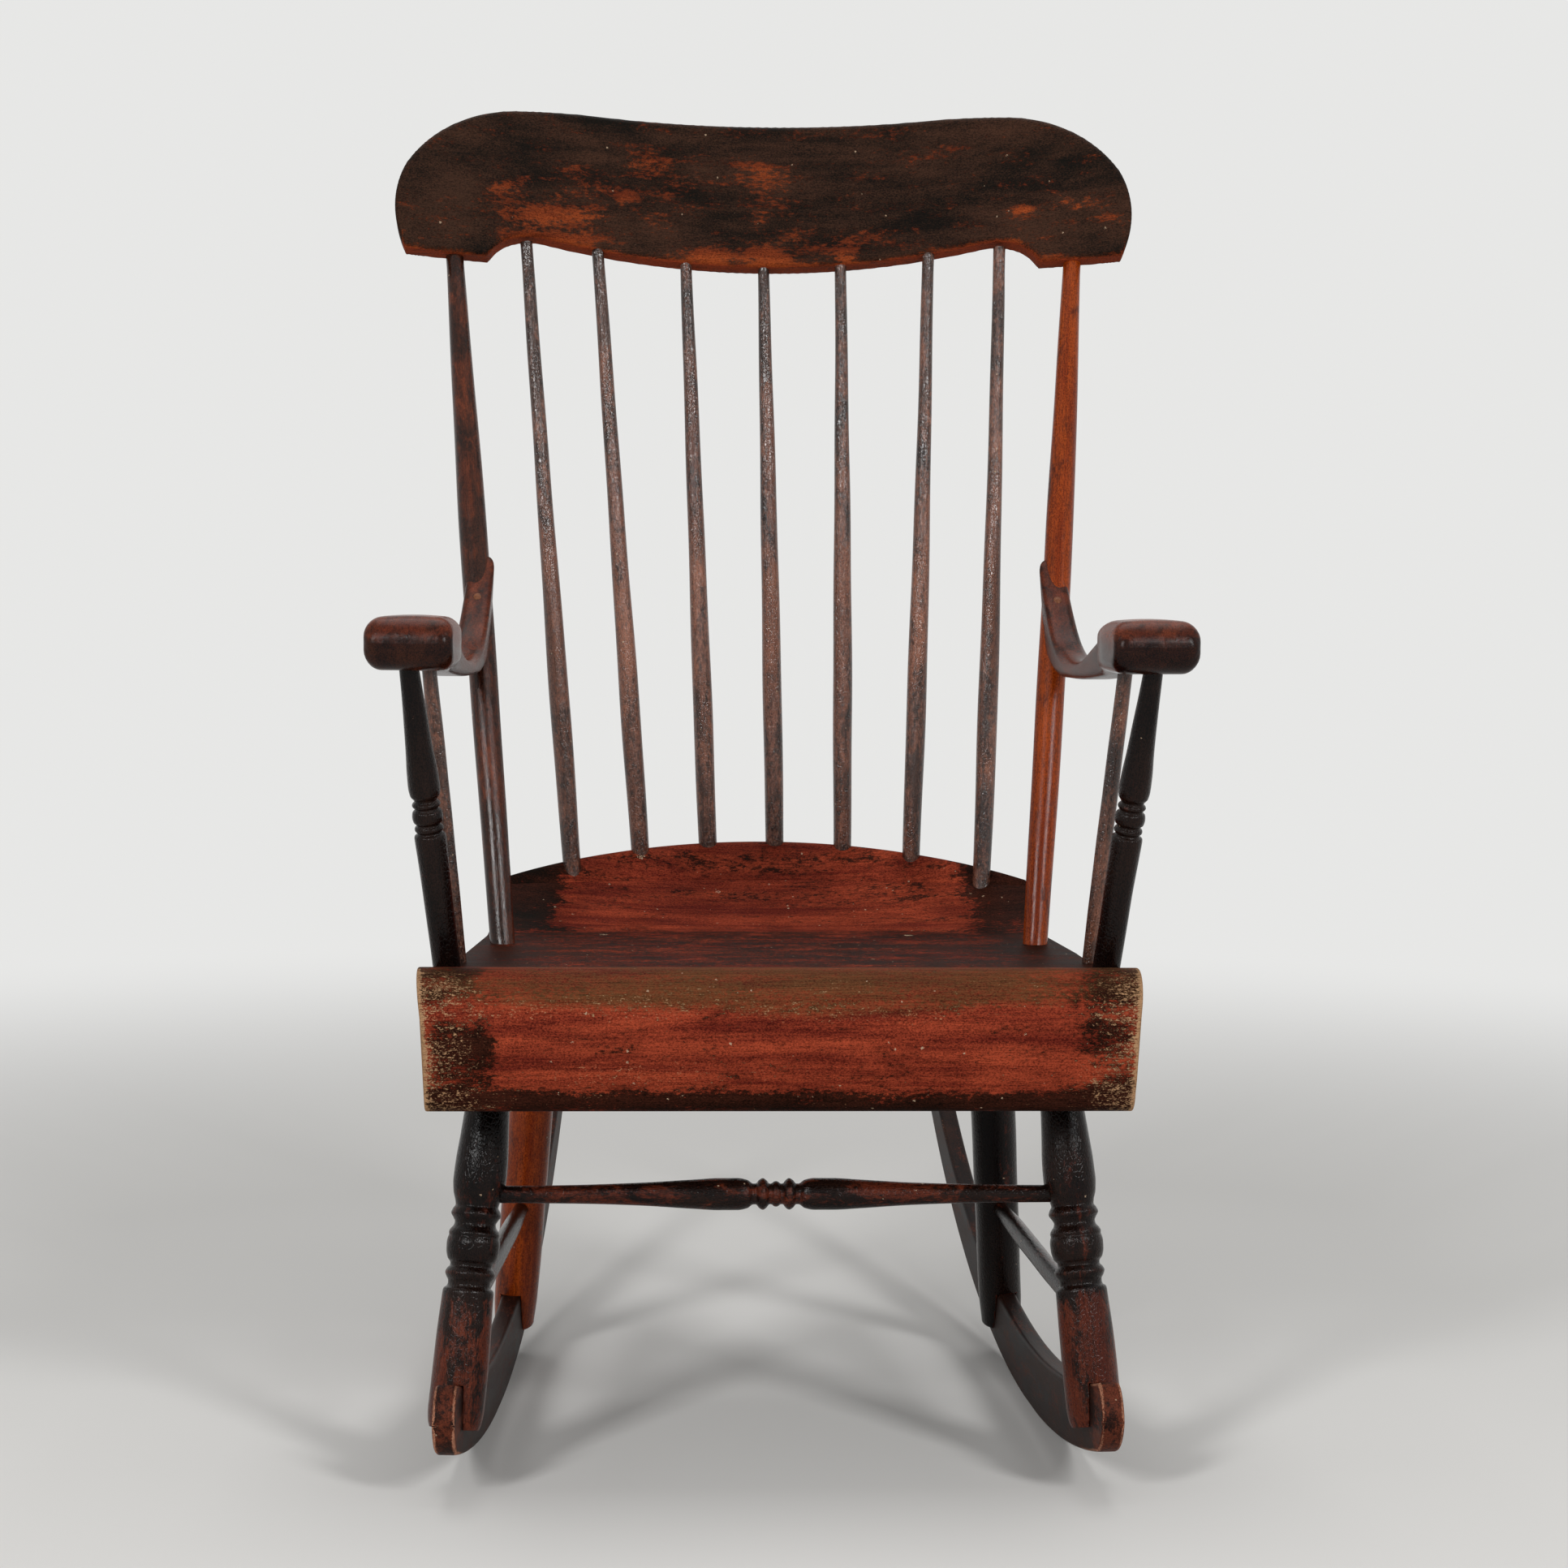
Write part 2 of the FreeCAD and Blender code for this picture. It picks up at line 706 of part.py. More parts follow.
def rear_leg(name, side):
    """A plain rear leg, slotted over its rocker."""
    line = rear_leg_line(side)
    blank = turning(f"{name}_turning", *line, s.rear_leg_diameter, REAR_LEG_SHARES,
                    end_depth=s.rear_leg_tenon_depth)
    rear = rear_stretcher_line()
    if side > 0:
        rear = rear[::-1]
    rear_end = s.rear_stretcher_diameter * STRETCHER_SHARES[0][1]
    side_end = s.side_stretcher_diameter * STRETCHER_SHARES[0][1]
    sockets = [(*rear, rear_end), (*side_stretcher_line(side)[::-1], side_end)]
    return cut(name, blank, leg_tools(name, side, sockets))


# Stretchers

def front_stretcher(name):
    """The turned front stretcher: two vases, each with a ring, about a middle bead."""
    half = FRONT_STRETCHER_HALF_SHARES
    mirrored = [(1 - share, width) for share, width in reversed(half[:-1])]
    return turning(name, *front_stretcher_line(), s.front_stretcher_diameter, half + mirrored)


def side_stretcher(name, side):
    """A plain side stretcher, thickest in the middle."""
    return turning(name, *side_stretcher_line(side), s.side_stretcher_diameter, STRETCHER_SHARES)


def rear_stretcher(name):
    """The plain rear stretcher."""
    return turning(name, *rear_stretcher_line(), s.rear_stretcher_diameter, STRETCHER_SHARES)


# Seat

def seat_outline(body, name, height):
    """The plan of the seat: wide at the front corners, drawn in at the waist, curved at the rear."""
    sketch = new_sketch(body, name, "XY_Plane", (zero, zero, height))
    rear_centre = s.seat_depth - s.seat_rear_edge_radius
    square = s.seat_rear_edge_radius * s.seat_rear_edge_radius
    corner_y = rear_centre + root(square - s.seat_back_half_width * s.seat_back_half_width)
    front_y = -s.roll_reach
    waist = (s.seat_waist_half_width, s.seat_waist_setback)
    waist_drawn_in = s.seat_front_half_width - s.seat_waist_half_width
    waist_run = s.seat_waist_setback - s.seat_front_side_setback
    bend_x = s.seat_waist_half_width + waist_drawn_in * WAIST_BEND_SHARES[0]
    bend_y = s.seat_front_side_setback + waist_run * WAIST_BEND_SHARES[1]
    draw_loop(sketch, [
        (s.seat_front_half_width, front_y),
        (s.seat_front_half_width, s.seat_front_side_setback),
        (bend_x, bend_y, *waist),
        (s.seat_back_half_width, corner_y),
        (zero, s.seat_depth, -s.seat_back_half_width, corner_y),
        (-waist[0], waist[1]),
        (-bend_x, bend_y, -s.seat_front_half_width, s.seat_front_side_setback),
        (-s.seat_front_half_width, front_y),
    ])
    return sketch


def ramp_sketch(body, name, rows):
    """A profile about the vertical axis on which the seat's rear slope curves."""
    shift = (s.seat_ramp_setback - s.seat_ramp_radius, zero, zero)
    sketch = new_sketch(body, name, "YZ_Plane", shift)
    draw_loop(sketch, rows)
    return sketch


def seat_plank(name):
    """The plank: dished behind the crest, rising at the rear to the seam of the rear roll."""
    body = new_body(f"{name}_blank")
    outline = seat_outline(body, f"{name}_plan", seam_height)
    pad(body, outline, seam_height - plank_underside, backwards=True, taper=-s.seat_side_taper)
    dish_end = s.seat_waist_setback
    above = seam_height + s.cut_overrun
    below = plank_underside - s.cut_overrun
    ahead = -s.cut_overrun
    lip_height = dish_height + s.seat_dish_depth * LIP_SHARE
    profile = new_sketch(body, f"{name}_dish", "YZ_Plane")
    draw_loop(profile, [
        (ahead, above),
        (ahead, below),
        (s.roll_joint_setback, below),
        (s.roll_joint_setback, lip_height),
        (s.roll_joint_setback + (s.seat_dish_setback - s.roll_joint_setback) * DISH_BEND_SHARES[0],
         dish_height + s.seat_dish_depth * DISH_BEND_SHARES[1], s.seat_dish_setback, dish_height),
        (dish_end, dish_height),
        (dish_end, above),
    ])
    pocket(body, profile, 2 * s.seat_front_half_width + s.cut_overrun)
    seam_radius = s.seat_ramp_radius + s.seat_seam_setback - s.seat_ramp_setback
    middle = s.seat_ramp_radius + (seam_radius - s.seat_ramp_radius) * RAMP_BEND_SHARES[0]
    inner = s.seat_ramp_radius + s.seat_waist_setback - s.seat_ramp_setback - s.seat_waist_setback / 2
    ramp = ramp_sketch(body, f"{name}_ramp", [
        (inner, above),
        (inner, dish_height),
        (s.seat_ramp_radius, dish_height),
        (middle, dish_height + (seam_height - dish_height) * RAMP_BEND_SHARES[1], seam_radius, seam_height),
        (seam_radius, above),
    ])
    revolve(body, ramp, "Groove")
    under = new_sketch(body, f"{name}_underside", "YZ_Plane")
    rear = s.seat_depth + s.cut_overrun
    run = s.seat_depth - s.seat_underside_setback
    draw_loop(under, [
        (s.seat_underside_setback, plank_underside),
        (s.seat_underside_setback + run * UNDERSIDE_BEND_SHARES[0],
         plank_underside + s.seat_underside_rise * UNDERSIDE_BEND_SHARES[1],
         s.seat_depth, plank_underside + s.seat_underside_rise),
        (rear, plank_underside + s.seat_underside_rise),
        (rear, below),
        (s.seat_underside_setback, below),
    ])
    pocket(body, under, 2 * s.seat_front_half_width + s.cut_overrun)
    stand(body, place(zero, zero, zero))
    return cut(name, body, plank_sockets(name))


def plank_sockets(name):
    """Sockets of the legs, spindles, back posts, arm posts and arm spindles in the plank."""
    tools = spindle_sockets(name)
    for label, side in SIDES:
        for piece, (mouth, away), diameter, depth in (
                ("front_leg", front_leg_line(side)[::-1], s.front_leg_diameter * FRONT_LEG_SHARES[-1][1],
                 s.front_leg_tenon_depth),
                ("rear_leg", rear_leg_line(side)[::-1], s.rear_leg_diameter * REAR_LEG_SHARES[-1][1],
                 s.rear_leg_tenon_depth),
                ("arm_post", arm_post_line(side), s.arm_post_diameter * ARM_POST_SHARES[0][1],
                 s.arm_tenon_depth),
                ("arm_spindle", arm_spindle_line(side), s.arm_spindle_diameter, s.arm_tenon_depth),
                ("back_post", post_line(side), s.post_diameter * POST_SHARES[0][1], s.post_foot_depth)):
            tools.append(socket(f"{name}_{piece}_socket_{label}", diameter, mouth, away, depth))
    return tools


def seat_rear_roll(name):
    """The rear roll: a wedge curved about the ramp's axis, trimmed to the seat's plan."""
    body = new_body(f"{name}_blank")
    back_height = s.seat_height + s.seat_back_rise
    seam_radius = s.seat_ramp_radius + s.seat_seam_setback - s.seat_ramp_setback
    back_radius = s.seat_ramp_radius + s.seat_depth - s.seat_ramp_setback
    wedge = ramp_sketch(body, f"{name}_section", [
        (back_radius, seam_height),
        (back_radius, back_height),
        (seam_radius, seam_height),
    ])
    revolve(body, wedge)
    outline = seat_outline(body, f"{name}_plan", seam_height)
    beyond = back_radius + s.cut_overrun
    draw_loop(outline, [
        (beyond, beyond),
        (beyond, -2 * beyond),
        (-beyond, -2 * beyond),
        (-beyond, beyond),
    ])
    pocket(body, outline, 2 * s.seat_back_rise)
    stand(body, place(zero, zero, zero))
    return cut(name, body, spindle_sockets(name))


def seat_front_roll(name):
    """The deep front roll: its face bulges forwards from the crest and turns back under the seat."""
    body = new_body(name)
    side_view = new_sketch(body, f"{name}_profile", "YZ_Plane")
    bottom = s.seat_height - s.roll_depth
    lip_height = dish_height + s.seat_dish_depth * LIP_SHARE
    draw_loop(side_view, [
        (s.roll_joint_setback, plank_underside),
        (s.roll_joint_setback, lip_height),
        (s.roll_joint_setback * ROLL_CREST_SHARES[0], s.seat_height,
         -s.roll_reach * ROLL_CREST_SHARES[1], s.seat_height - s.roll_depth * ROLL_CREST_SHARES[2]),
        (-s.roll_reach, s.seat_height - s.roll_depth * ROLL_FACE_SHARES[0],
         -s.roll_reach * ROLL_FACE_SHARES[1], bottom + s.roll_depth * ROLL_FACE_SHARES[2]),
        (s.roll_foot_setback * ROLL_FOOT_SHARES[0], bottom, s.roll_foot_setback,
         bottom + s.roll_depth * ROLL_FOOT_SHARES[1]),
    ])
    pad(body, side_view, 2 * s.seat_front_half_width, both_ways=True)
    front_view = new_sketch(body, f"{name}_ends", "XZ_Plane")
    slope = sine(s.seat_side_taper) / cosine(s.seat_side_taper)
    top_x = s.seat_front_half_width - (seam_height - s.seat_height) * slope
    low_x = s.seat_front_half_width - (seam_height - plank_underside) * slope
    beyond = s.seat_front_half_width + s.cut_overrun
    for side in (1, -1):
        draw_loop(front_view, [
            (side * top_x, s.seat_height + s.cut_overrun),
            (side * top_x, s.seat_height),
            (side * low_x, plank_underside),
            (side * s.roll_foot_half_width, bottom - s.cut_overrun),
            (side * beyond, bottom - s.cut_overrun),
            (side * beyond, s.seat_height + s.cut_overrun),
        ])
    pocket(body, front_view, 2 * s.seat_depth)
    stand(body, place(zero, zero, zero))
    return body


# Back

def back_post(name, side):
    """A bent back post, thickest where the arm meets it, with the hole of the arm's peg."""
    stick = bent_stick(f"{name}_stick", *post_line(side), s.post_diameter, s.post_bend, POST_SHARES,
                       (s.post_foot_depth, s.post_top_depth))
    hole = cylinder(f"{name}_peg_hole", s.arm_peg_diameter + 2 * s.fit_clearance, *peg_line(side),
                    -s.arm_peg_depth - s.socket_end_gap, s.cut_overrun)
    return cut(name, stick, [hole])


def spindle(name, number):
    """A bent spindle, tapering upwards."""
    return bent_stick(name, *spindle_line(number), s.spindle_diameter, s.spindle_bend, SPINDLE_SHARES,
                      (s.spindle_foot_depth, s.spindle_top_depth))


def socket(name, diameter, mouth, away, depth):
    """The bore that takes a tenon: it starts in the open and ends behind the tenon."""
    return cylinder(name, diameter + 2 * s.fit_clearance, mouth, away, -depth - s.socket_end_gap,
                    s.socket_mouth)


def spindle_sockets(name, at_top=False):
    """The bores of the seven spindles, at their feet or at their tops."""
    bores = []
    for number in range(-LAST_SPINDLE, LAST_SPINDLE + 1):
        foot, top = spindle_line(number)
        label = f"{name}_spindle_socket_{number + LAST_SPINDLE + 1}"
        if at_top:
            bores.append(socket(label, s.spindle_diameter * SPINDLE_SHARES[-1][1], top, foot,
                                s.spindle_top_depth))
        else:
            bores.append(socket(label, s.spindle_diameter * SPINDLE_SHARES[0][1], foot, top,
                                s.spindle_foot_depth))
    return bores


def crest_rail(name):
    """The crest rail: a bowed board, cut to its outline, with eased edges."""
    body = new_body(f"{name}_blank")
    plan = new_sketch(body, f"{name}_plan", "XY_Plane")
    half = s.crest_half_width + s.crest_thickness
    rows = []
    for shift in (-s.crest_thickness / 2, s.crest_thickness / 2):
        radius = s.crest_bow_radius + shift
        rows.append((shift, root(radius * radius - half * half) - s.crest_bow_radius))
    front, rear = rows
    draw_loop(plan, [
        (-half, front[1]),
        (zero, front[0], half, front[1]),
        (half, rear[1]),
        (zero, rear[0], -half, rear[1]),
    ])
    pad(body, plan, s.crest_rise + s.crest_thickness)
    outline = new_sketch(body, f"{name}_outline", "XZ_Plane")
    width = s.crest_half_width
    rise = s.crest_rise
    right = [tuple(size * row[i] for i, size in zip(range(len(row)), (width, rise, width, rise)))
             for row in CREST_SIDE_SHARES]
    start = (width * CREST_TOP_START_SHARES[0], rise * CREST_TOP_START_SHARES[1])
    corners = [start] + [row[-2:] for row in right]
    left = []
    for number in range(len(right) - 1, -1, -1):
        row = right[number]
        goal = (-corners[number][0], corners[number][1])
        left.append((-row[0], row[1], *goal) if len(row) == 4 else goal)
    last = corners[-1]
    rows = [start] + right
    rows.append((zero, rise * CREST_BOTTOM_DIP_SHARE, -last[0], last[1]))
    rows += left
    rows[0] = (zero, rise * CREST_TOP_DIP_SHARE, *start)
    beyond = s.crest_half_width + s.cut_overrun
    draw_loop(outline, rows)
    draw_loop(outline, [
        (beyond, rise + s.cut_overrun),
        (beyond, -s.cut_overrun),
        (-beyond, -s.cut_overrun),
        (-beyond, rise + s.cut_overrun),
    ])
    shaped = pocket(body, outline, s.crest_bow_radius)
    document.recompute()
    edges = crest_edges(shaped.Shape)
    bevel = body.newObject("PartDesign::Chamfer", f"{name}_bevel")
    bevel.Base = (shaped, edges)
    bevel.setExpression("Size", s.crest_edge_bevel.text)
    base = place(zero, s.crest_setback, crest_underside)
    stand(body, base, axis=(1, 0, 0), angle=-s.crest_lean_angle)
    tools = spindle_sockets(name, at_top=True)
    for label, side in SIDES:
        foot, top = post_line(side)
        tools.append(socket(f"{name}_post_socket_{label}", s.post_diameter * POST_SHARES[-1][1], top, foot,
                            s.post_top_depth))
    return cut(name, body, tools)


def crest_edges(shape):
    """Names of the edges that run round the front and the rear face of the crest."""
    wide = sorted(shape.Faces, key=lambda face: face.Area)[-2:]
    names = []
    for number, edge in enumerate(shape.Edges, start=1):
        if any(edge.isSame(other) for face in wide for other in face.Edges):
            names.append(f"Edge{number}")
    return names


# Arms

def arm_blank(name, side):
    """The arm, sawn to its side view and then to its plan."""
    body = new_body(name)
    side_view = new_sketch(body, f"{name}_side_view", "YZ_Plane")
    length = s.arm_length
    rise = s.arm_rise
    thick = s.hand_thickness
    rows = [tuple(size * row[i] for i, size in zip(range(len(row)), (length, rise, length, rise)))
            for row in ARM_SIDE_SHARES]
    nose = thick / 2
    draw_loop(side_view, [(nose, zero), (zero, nose, nose, thick)] + rows)
    pad(body, side_view, s.hand_width, both_ways=True)
    plan = new_sketch(body, f"{name}_plan", "XY_Plane")
    wide, slim, end = s.hand_width / 2, s.arm_width / 2, s.arm_end_width / 2
    depth = s.hand_depth
    corner = s.hand_corner
    beyond = s.hand_width
    waist = slim + (wide - slim) * HAND_WAIST_SHARES[0]
    for way in (1, -1):
        draw_loop(plan, [
            (way * (wide - corner), -corner),
            (way * (wide - corner), zero),
            (way * (wide - corner * (1 - HALF_TURN_SHARE)), corner * (1 - HALF_TURN_SHARE), way * wide, corner),
            (way * (wide - (wide - waist) * HAND_SIDE_SHARES[0]), depth * HAND_SIDE_SHARES[1], way * waist, depth),
            (way * (slim + (waist - slim) * HAND_WAIST_SHARES[1]), depth * HAND_WAIST_SHARES[2], way * slim,
             depth * HAND_WAIST_SHARES[3]),
            (way * slim, length * ARM_NARROWING_SHARE),
            (way * end, length),
            (way * end, length + beyond),
            (way * beyond, length + beyond),
            (way * beyond, -corner),
        ])
    pocket(body, plan, s.cut_overrun * 4)
    stand(body, arm_line(side)[0], angle=side * s.arm_splay_angle)
    return body


def arm_end(name, side):
    """The space behind the arm: a block along the back post that trims the arm to lap its front."""
    body = new_body(name)
    sketch = new_sketch(body, f"{name}_plan", "XY_Plane")
    front = s.arm_cope_depth - s.post_bend - s.post_diameter / 2
    draw_loop(sketch, [
        (s.hand_width, front),
        (s.hand_width, s.cut_overrun),
        (-s.hand_width, s.cut_overrun),
        (-s.hand_width, front),
    ])
    foot, top = post_line(side)
    pad(body, sketch, distance(foot, top))
    lean(body, foot, top)
    return body


def peg_line(side):
    """A point on the back post's bent axis, and one straight out from it across the arm's rise."""
    axis = at_height(*post_line(side), arm_underside + s.arm_peg_height)
    centre = (axis[0], axis[1] - bow_offset(s.post_bend, POST_SHARES[2][0]), axis[2])
    mouth = (centre[0], centre[1] - cosine(s.arm_peg_slope_angle) * s.arm_peg_reach,
             centre[2] + sine(s.arm_peg_slope_angle) * s.arm_peg_reach)
    return centre, mouth


def arm_pegs(name):
    """The two pegs that hold the arms to the back posts, one on each side."""
    group = document.addObject("Part::Compound", name)
    group.Links = [cylinder(f"{name}_{label}", s.arm_peg_diameter, *peg_line(side), -s.arm_peg_depth,
                            s.arm_peg_reach) for label, side in SIDES]
    group.Label = name
    return group


def arm(name, side):
    """An arm coped to its back post, with sockets for the post and spindle below and the peg."""
    foot, top = arm_post_line(side)
    rod_foot, rod_top = arm_spindle_line(side)
    tools = [
        socket(f"{name}_post_socket", s.arm_post_diameter * ARM_POST_SHARES[-1][1], top, foot,
               s.arm_tenon_depth),
        socket(f"{name}_spindle_socket", s.arm_spindle_diameter, rod_top, rod_foot,
               s.arm_tenon_depth * ARM_SPINDLE_TENON_SHARE),
        bent_stick(f"{name}_cope", *post_line(side), s.post_diameter, s.post_bend, POST_SHARES,
                   (s.post_foot_depth, s.post_top_depth), s.fit_clearance),
        arm_end(f"{name}_end", side),
        cylinder(f"{name}_peg_hole", s.arm_peg_diameter + 2 * s.fit_clearance, *peg_line(side), zero,
                 s.cut_overrun),
    ]
    return cut(name, arm_blank(f"{name}_blank", side), tools)


def turned_arm_post(name, side):
    """A turned front arm post with a bead between two rings."""
    return turning(name, *arm_post_line(side), s.arm_post_diameter, ARM_POST_SHARES,
                   s.arm_tenon_depth, s.arm_tenon_depth)


def arm_spindle(name, side):
    """The plain rod behind an arm post."""
    foot, top = arm_spindle_line(side)
    rod = cylinder(name, s.arm_spindle_diameter, foot, top, -s.arm_tenon_depth,
                   distance(foot, top) + s.arm_tenon_depth * ARM_SPINDLE_TENON_SHARE)
    rod.Label = name
    return rod


def build():
    """Make every piece of the chair and return them."""
    pieces = [
        seat_plank("seat_plank"),
        seat_rear_roll("seat_rear_roll"),
        seat_front_roll("seat_front_roll"),
        crest_rail("crest_rail"),
        front_stretcher("front_stretcher"),
        rear_stretcher("rear_stretcher"),
        arm_pegs("arm_pegs"),
    ]
    for number in range(-LAST_SPINDLE, LAST_SPINDLE + 1):
        pieces.append(spindle(f"back_spindle_{number + LAST_SPINDLE + 1}", number))
    for label, side in SIDES:
        pieces.append(back_post(f"back_post_{label}", side))
        pieces.append(arm(f"arm_{label}", side))
        pieces.append(turned_arm_post(f"arm_post_{label}", side))
        pieces.append(arm_spindle(f"arm_spindle_{label}", side))
        pieces.append(front_leg(f"front_leg_{label}", side))
        pieces.append(rear_leg(f"rear_leg_{label}", side))
        pieces.append(side_stretcher(f"side_stretcher_{label}", side))
        pieces.append(rocker(f"rocker_{label}", side, s.rocker_thickness))
    return pieces


def check(pieces):
    """Stop if an object of the document failed or a piece has no sound shape."""
    for item in document.Objects:
        if "Invalid" in item.State or "Error" in item.State:
            raise RuntimeError(f"{item.Label} failed: {item.State}")
    for piece in pieces:
        if piece.Shape.isNull() or not piece.Shape.isValid():
            raise RuntimeError(f"{piece.Label} has no sound shape")


def write(pieces):
    """Write each piece to its own file."""
    os.makedirs("parts", exist_ok=True)
    for piece in pieces:
        piece.Shape.exportStep(os.path.join("parts", f"{piece.Label}.step"))


chair = build()
document.recompute()
check(chair)
write(chair)
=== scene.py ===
import logging
import math
from dataclasses import dataclass
from enum import Enum
from typing import Callable, Optional, Sequence

import bmesh
import bpy
import numpy as np
from mathutils import Matrix, Vector


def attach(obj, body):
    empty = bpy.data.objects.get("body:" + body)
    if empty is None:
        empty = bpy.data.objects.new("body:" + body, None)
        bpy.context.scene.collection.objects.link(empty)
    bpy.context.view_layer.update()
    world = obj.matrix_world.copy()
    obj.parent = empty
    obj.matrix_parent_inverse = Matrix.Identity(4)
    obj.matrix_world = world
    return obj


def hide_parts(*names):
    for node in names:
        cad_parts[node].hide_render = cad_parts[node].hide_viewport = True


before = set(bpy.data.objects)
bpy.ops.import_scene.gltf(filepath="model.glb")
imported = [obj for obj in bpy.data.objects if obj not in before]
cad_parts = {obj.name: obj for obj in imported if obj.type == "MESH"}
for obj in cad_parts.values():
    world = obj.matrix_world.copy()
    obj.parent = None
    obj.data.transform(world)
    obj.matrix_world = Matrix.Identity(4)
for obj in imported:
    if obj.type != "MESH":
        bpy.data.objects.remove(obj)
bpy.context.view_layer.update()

log = logging.getLogger("rocking_chair")

Array = np.ndarray
Knots = Sequence[tuple[float, float]]
Colour = tuple[float, float, float]
Place = tuple[float, float, float]
Point = Sequence[float]
Line = tuple[Array, Array]

# All shapes are worked out in millimetres and written to the meshes in metres.
METRE = 0.001


# Curves


def smooth_knots(knots: Knots, at: Array) -> Array:
    """A cubic through knots that never swings past them (slopes are harmonic means of the runs' slopes).

    Args:
        knots: Pairs of place and value, in rising order of place.
        at: Places to read the curve at.

    Returns:
        The values at those places.
    """
    x, y = np.array(knots, float).T
    run = np.diff(x)
    rise = np.diff(y) / run
    slope = np.empty_like(y)
    slope[0], slope[-1] = rise[0], rise[-1]
    before, after = rise[:-1], rise[1:]
    same = before * after > 0
    heavy = 2 * run[1:] + run[:-1]
    light = run[1:] + 2 * run[:-1]
    inner = np.zeros(len(x) - 2)
    inner[same] = (heavy + light)[same] / (heavy[same] / before[same] + light[same] / after[same])
    slope[1:-1] = inner
    at = np.clip(at, x[0], x[-1])
    k = np.clip(np.searchsorted(x, at, side="right") - 1, 0, len(run) - 1)
    t = (at - x[k]) / run[k]
    return ((1 + 2 * t) * (1 - t) ** 2 * y[k] + t * (1 - t) ** 2 * run[k] * slope[k]
            + t * t * (3 - 2 * t) * y[k + 1] + t * t * (t - 1) * run[k] * slope[k + 1])


def arc_points(start: Point, middle: Point, end: Point, count: int = 40) -> Array:
    """Points along the circle through three points, from the first to the last.

    Args:
        start: First point of the arc.
        middle: Any point between the ends.
        end: Last point of the arc.
        count: How many points to give.

    Returns:
        An array of count points in the plane.
    """
    (ax, ay), (bx, by), (cx, cy) = start, middle, end
    twice = 2 * (ax * (by - cy) + bx * (cy - ay) + cx * (ay - by))
    a2, b2, c2 = ax * ax + ay * ay, bx * bx + by * by, cx * cx + cy * cy
    x = (a2 * (by - cy) + b2 * (cy - ay) + c2 * (ay - by)) / twice
    y = (a2 * (cx - bx) + b2 * (ax - cx) + c2 * (bx - ax)) / twice
    first = math.atan2(ay - y, ax - x)
    last = math.atan2(cy - y, cx - x)
    if twice > 0 and last < first:
        last += 2 * math.pi
    if twice < 0 and last > first:
        last -= 2 * math.pi
    angle = np.linspace(first, last, count)
    radius = math.hypot(ax - x, ay - y)
    return np.stack([x + radius * np.cos(angle), y + radius * np.sin(angle)], axis=1)


def shares(count: int) -> Array:
    """Even shares from nought to one, the first left out."""
    return np.linspace(0, 1, count)[1:]


def sized(width: float, height: float, *rows: Point) -> list[tuple[float, ...]]:
    """Turn rows of shares, across and up in turn, into rows of places."""
    return [tuple(share * size for share, size in zip(row, (width, height) * 2)) for row in rows]


def path_points(first: Point, rows: Sequence[Point]) -> Array:
    """Points along a chain of lines (rows of two numbers) and arcs through a point (rows of four).

    Args:
        first: The first point.
        rows: The rows, one for each line or arc.

    Returns:
        The points in order.
    """
    parts = [np.array([first], float)]
    for row in rows:
        last = parts[-1][-1]
        if len(row) == 2:
            parts.append(last + (np.array(row, float) - last) * shares(12)[:, None])
        else:
            parts.append(arc_points(last, row[:2], row[2:])[1:])
    return np.concatenate(parts)


def travel(points: Array) -> Array:
    """Distance along an outline to each of its points."""
    return np.concatenate([[0], np.cumsum(np.hypot(*np.diff(points, axis=0).T))])


def by_place(points: Array, at: Array) -> Array:
    """Read a single-valued outline, given as points, at some places along its first axis."""
    order = np.argsort(points[:, 0], kind="stable")
    return np.interp(at, points[order, 0], points[order, 1])


def blur(values: Array, reach: int) -> Array:
    """Average a row of values over a window, ends held, twice over, which rounds its corners off.

    Args:
        values: The values to work on.
        reach: Half the window, in values.

    Returns:
        The softened values.
    """
    if reach < 1:
        return values
    kernel = np.ones(2 * reach + 1) / (2 * reach + 1)
    for _ in range(2):
        values = np.convolve(np.pad(values, reach, mode="edge"), kernel, mode="valid")
    return values


def bump_at(values: Array, centre: float, width: float) -> Array:
    """A bell curve of height one about a centre."""
    return np.exp(-((values - centre) / width) ** 2)


def ramp(values: Array, low: float, high: float) -> Array:
    """Rise smoothly from zero at low to one at high."""
    t = np.clip((values - low) / (high - low), 0, 1)
    return t * t * (3 - 2 * t)


def band(values: Array, low: float, full: float, fall: float, high: float) -> Array:
    """Rise from low to full, stay at one, and sink from fall to high."""
    return ramp(values, low, full) * ramp(-values, -high, -fall)


def blots(across: Array, up: Array, rows: Sequence[tuple[float, ...]]) -> Array:
    """The sum of oval blots, a row each: middle and width across, the same upwards, and strength."""
    return sum(strength * bump_at(across, x, wide) * bump_at(up, z, high)
               for x, wide, z, high, strength in rows)


def laid(start: Array, degrees: float, across: Array, along: Array, height: Array) -> Array:
    """Points across, along and above a level line that runs back from a start, turned by an angle.

    Args:
        start: The line's front end.
        degrees: The turn about an upright axis.
        across: Distances to the side.
        along: Distances from the front end.
        height: Heights.

    Returns:
        The points.
    """
    c, s = math.cos(math.radians(degrees)), math.sin(math.radians(degrees))
    return np.stack([start[0] + across * c - along * s, start[1] + across * s + along * c,
                     start[2] + height], axis=-1)


def joined(x: Array, *pieces: tuple[object, object]) -> Line:
    """Join the pieces of a side view, each its setbacks and heights, into one loop for each X."""
    full = [np.broadcast_arrays(setback, height, x)[:2] for setback, height in pieces]
    return tuple(np.concatenate(values, axis=1) for values in zip(*full))


# Meshes


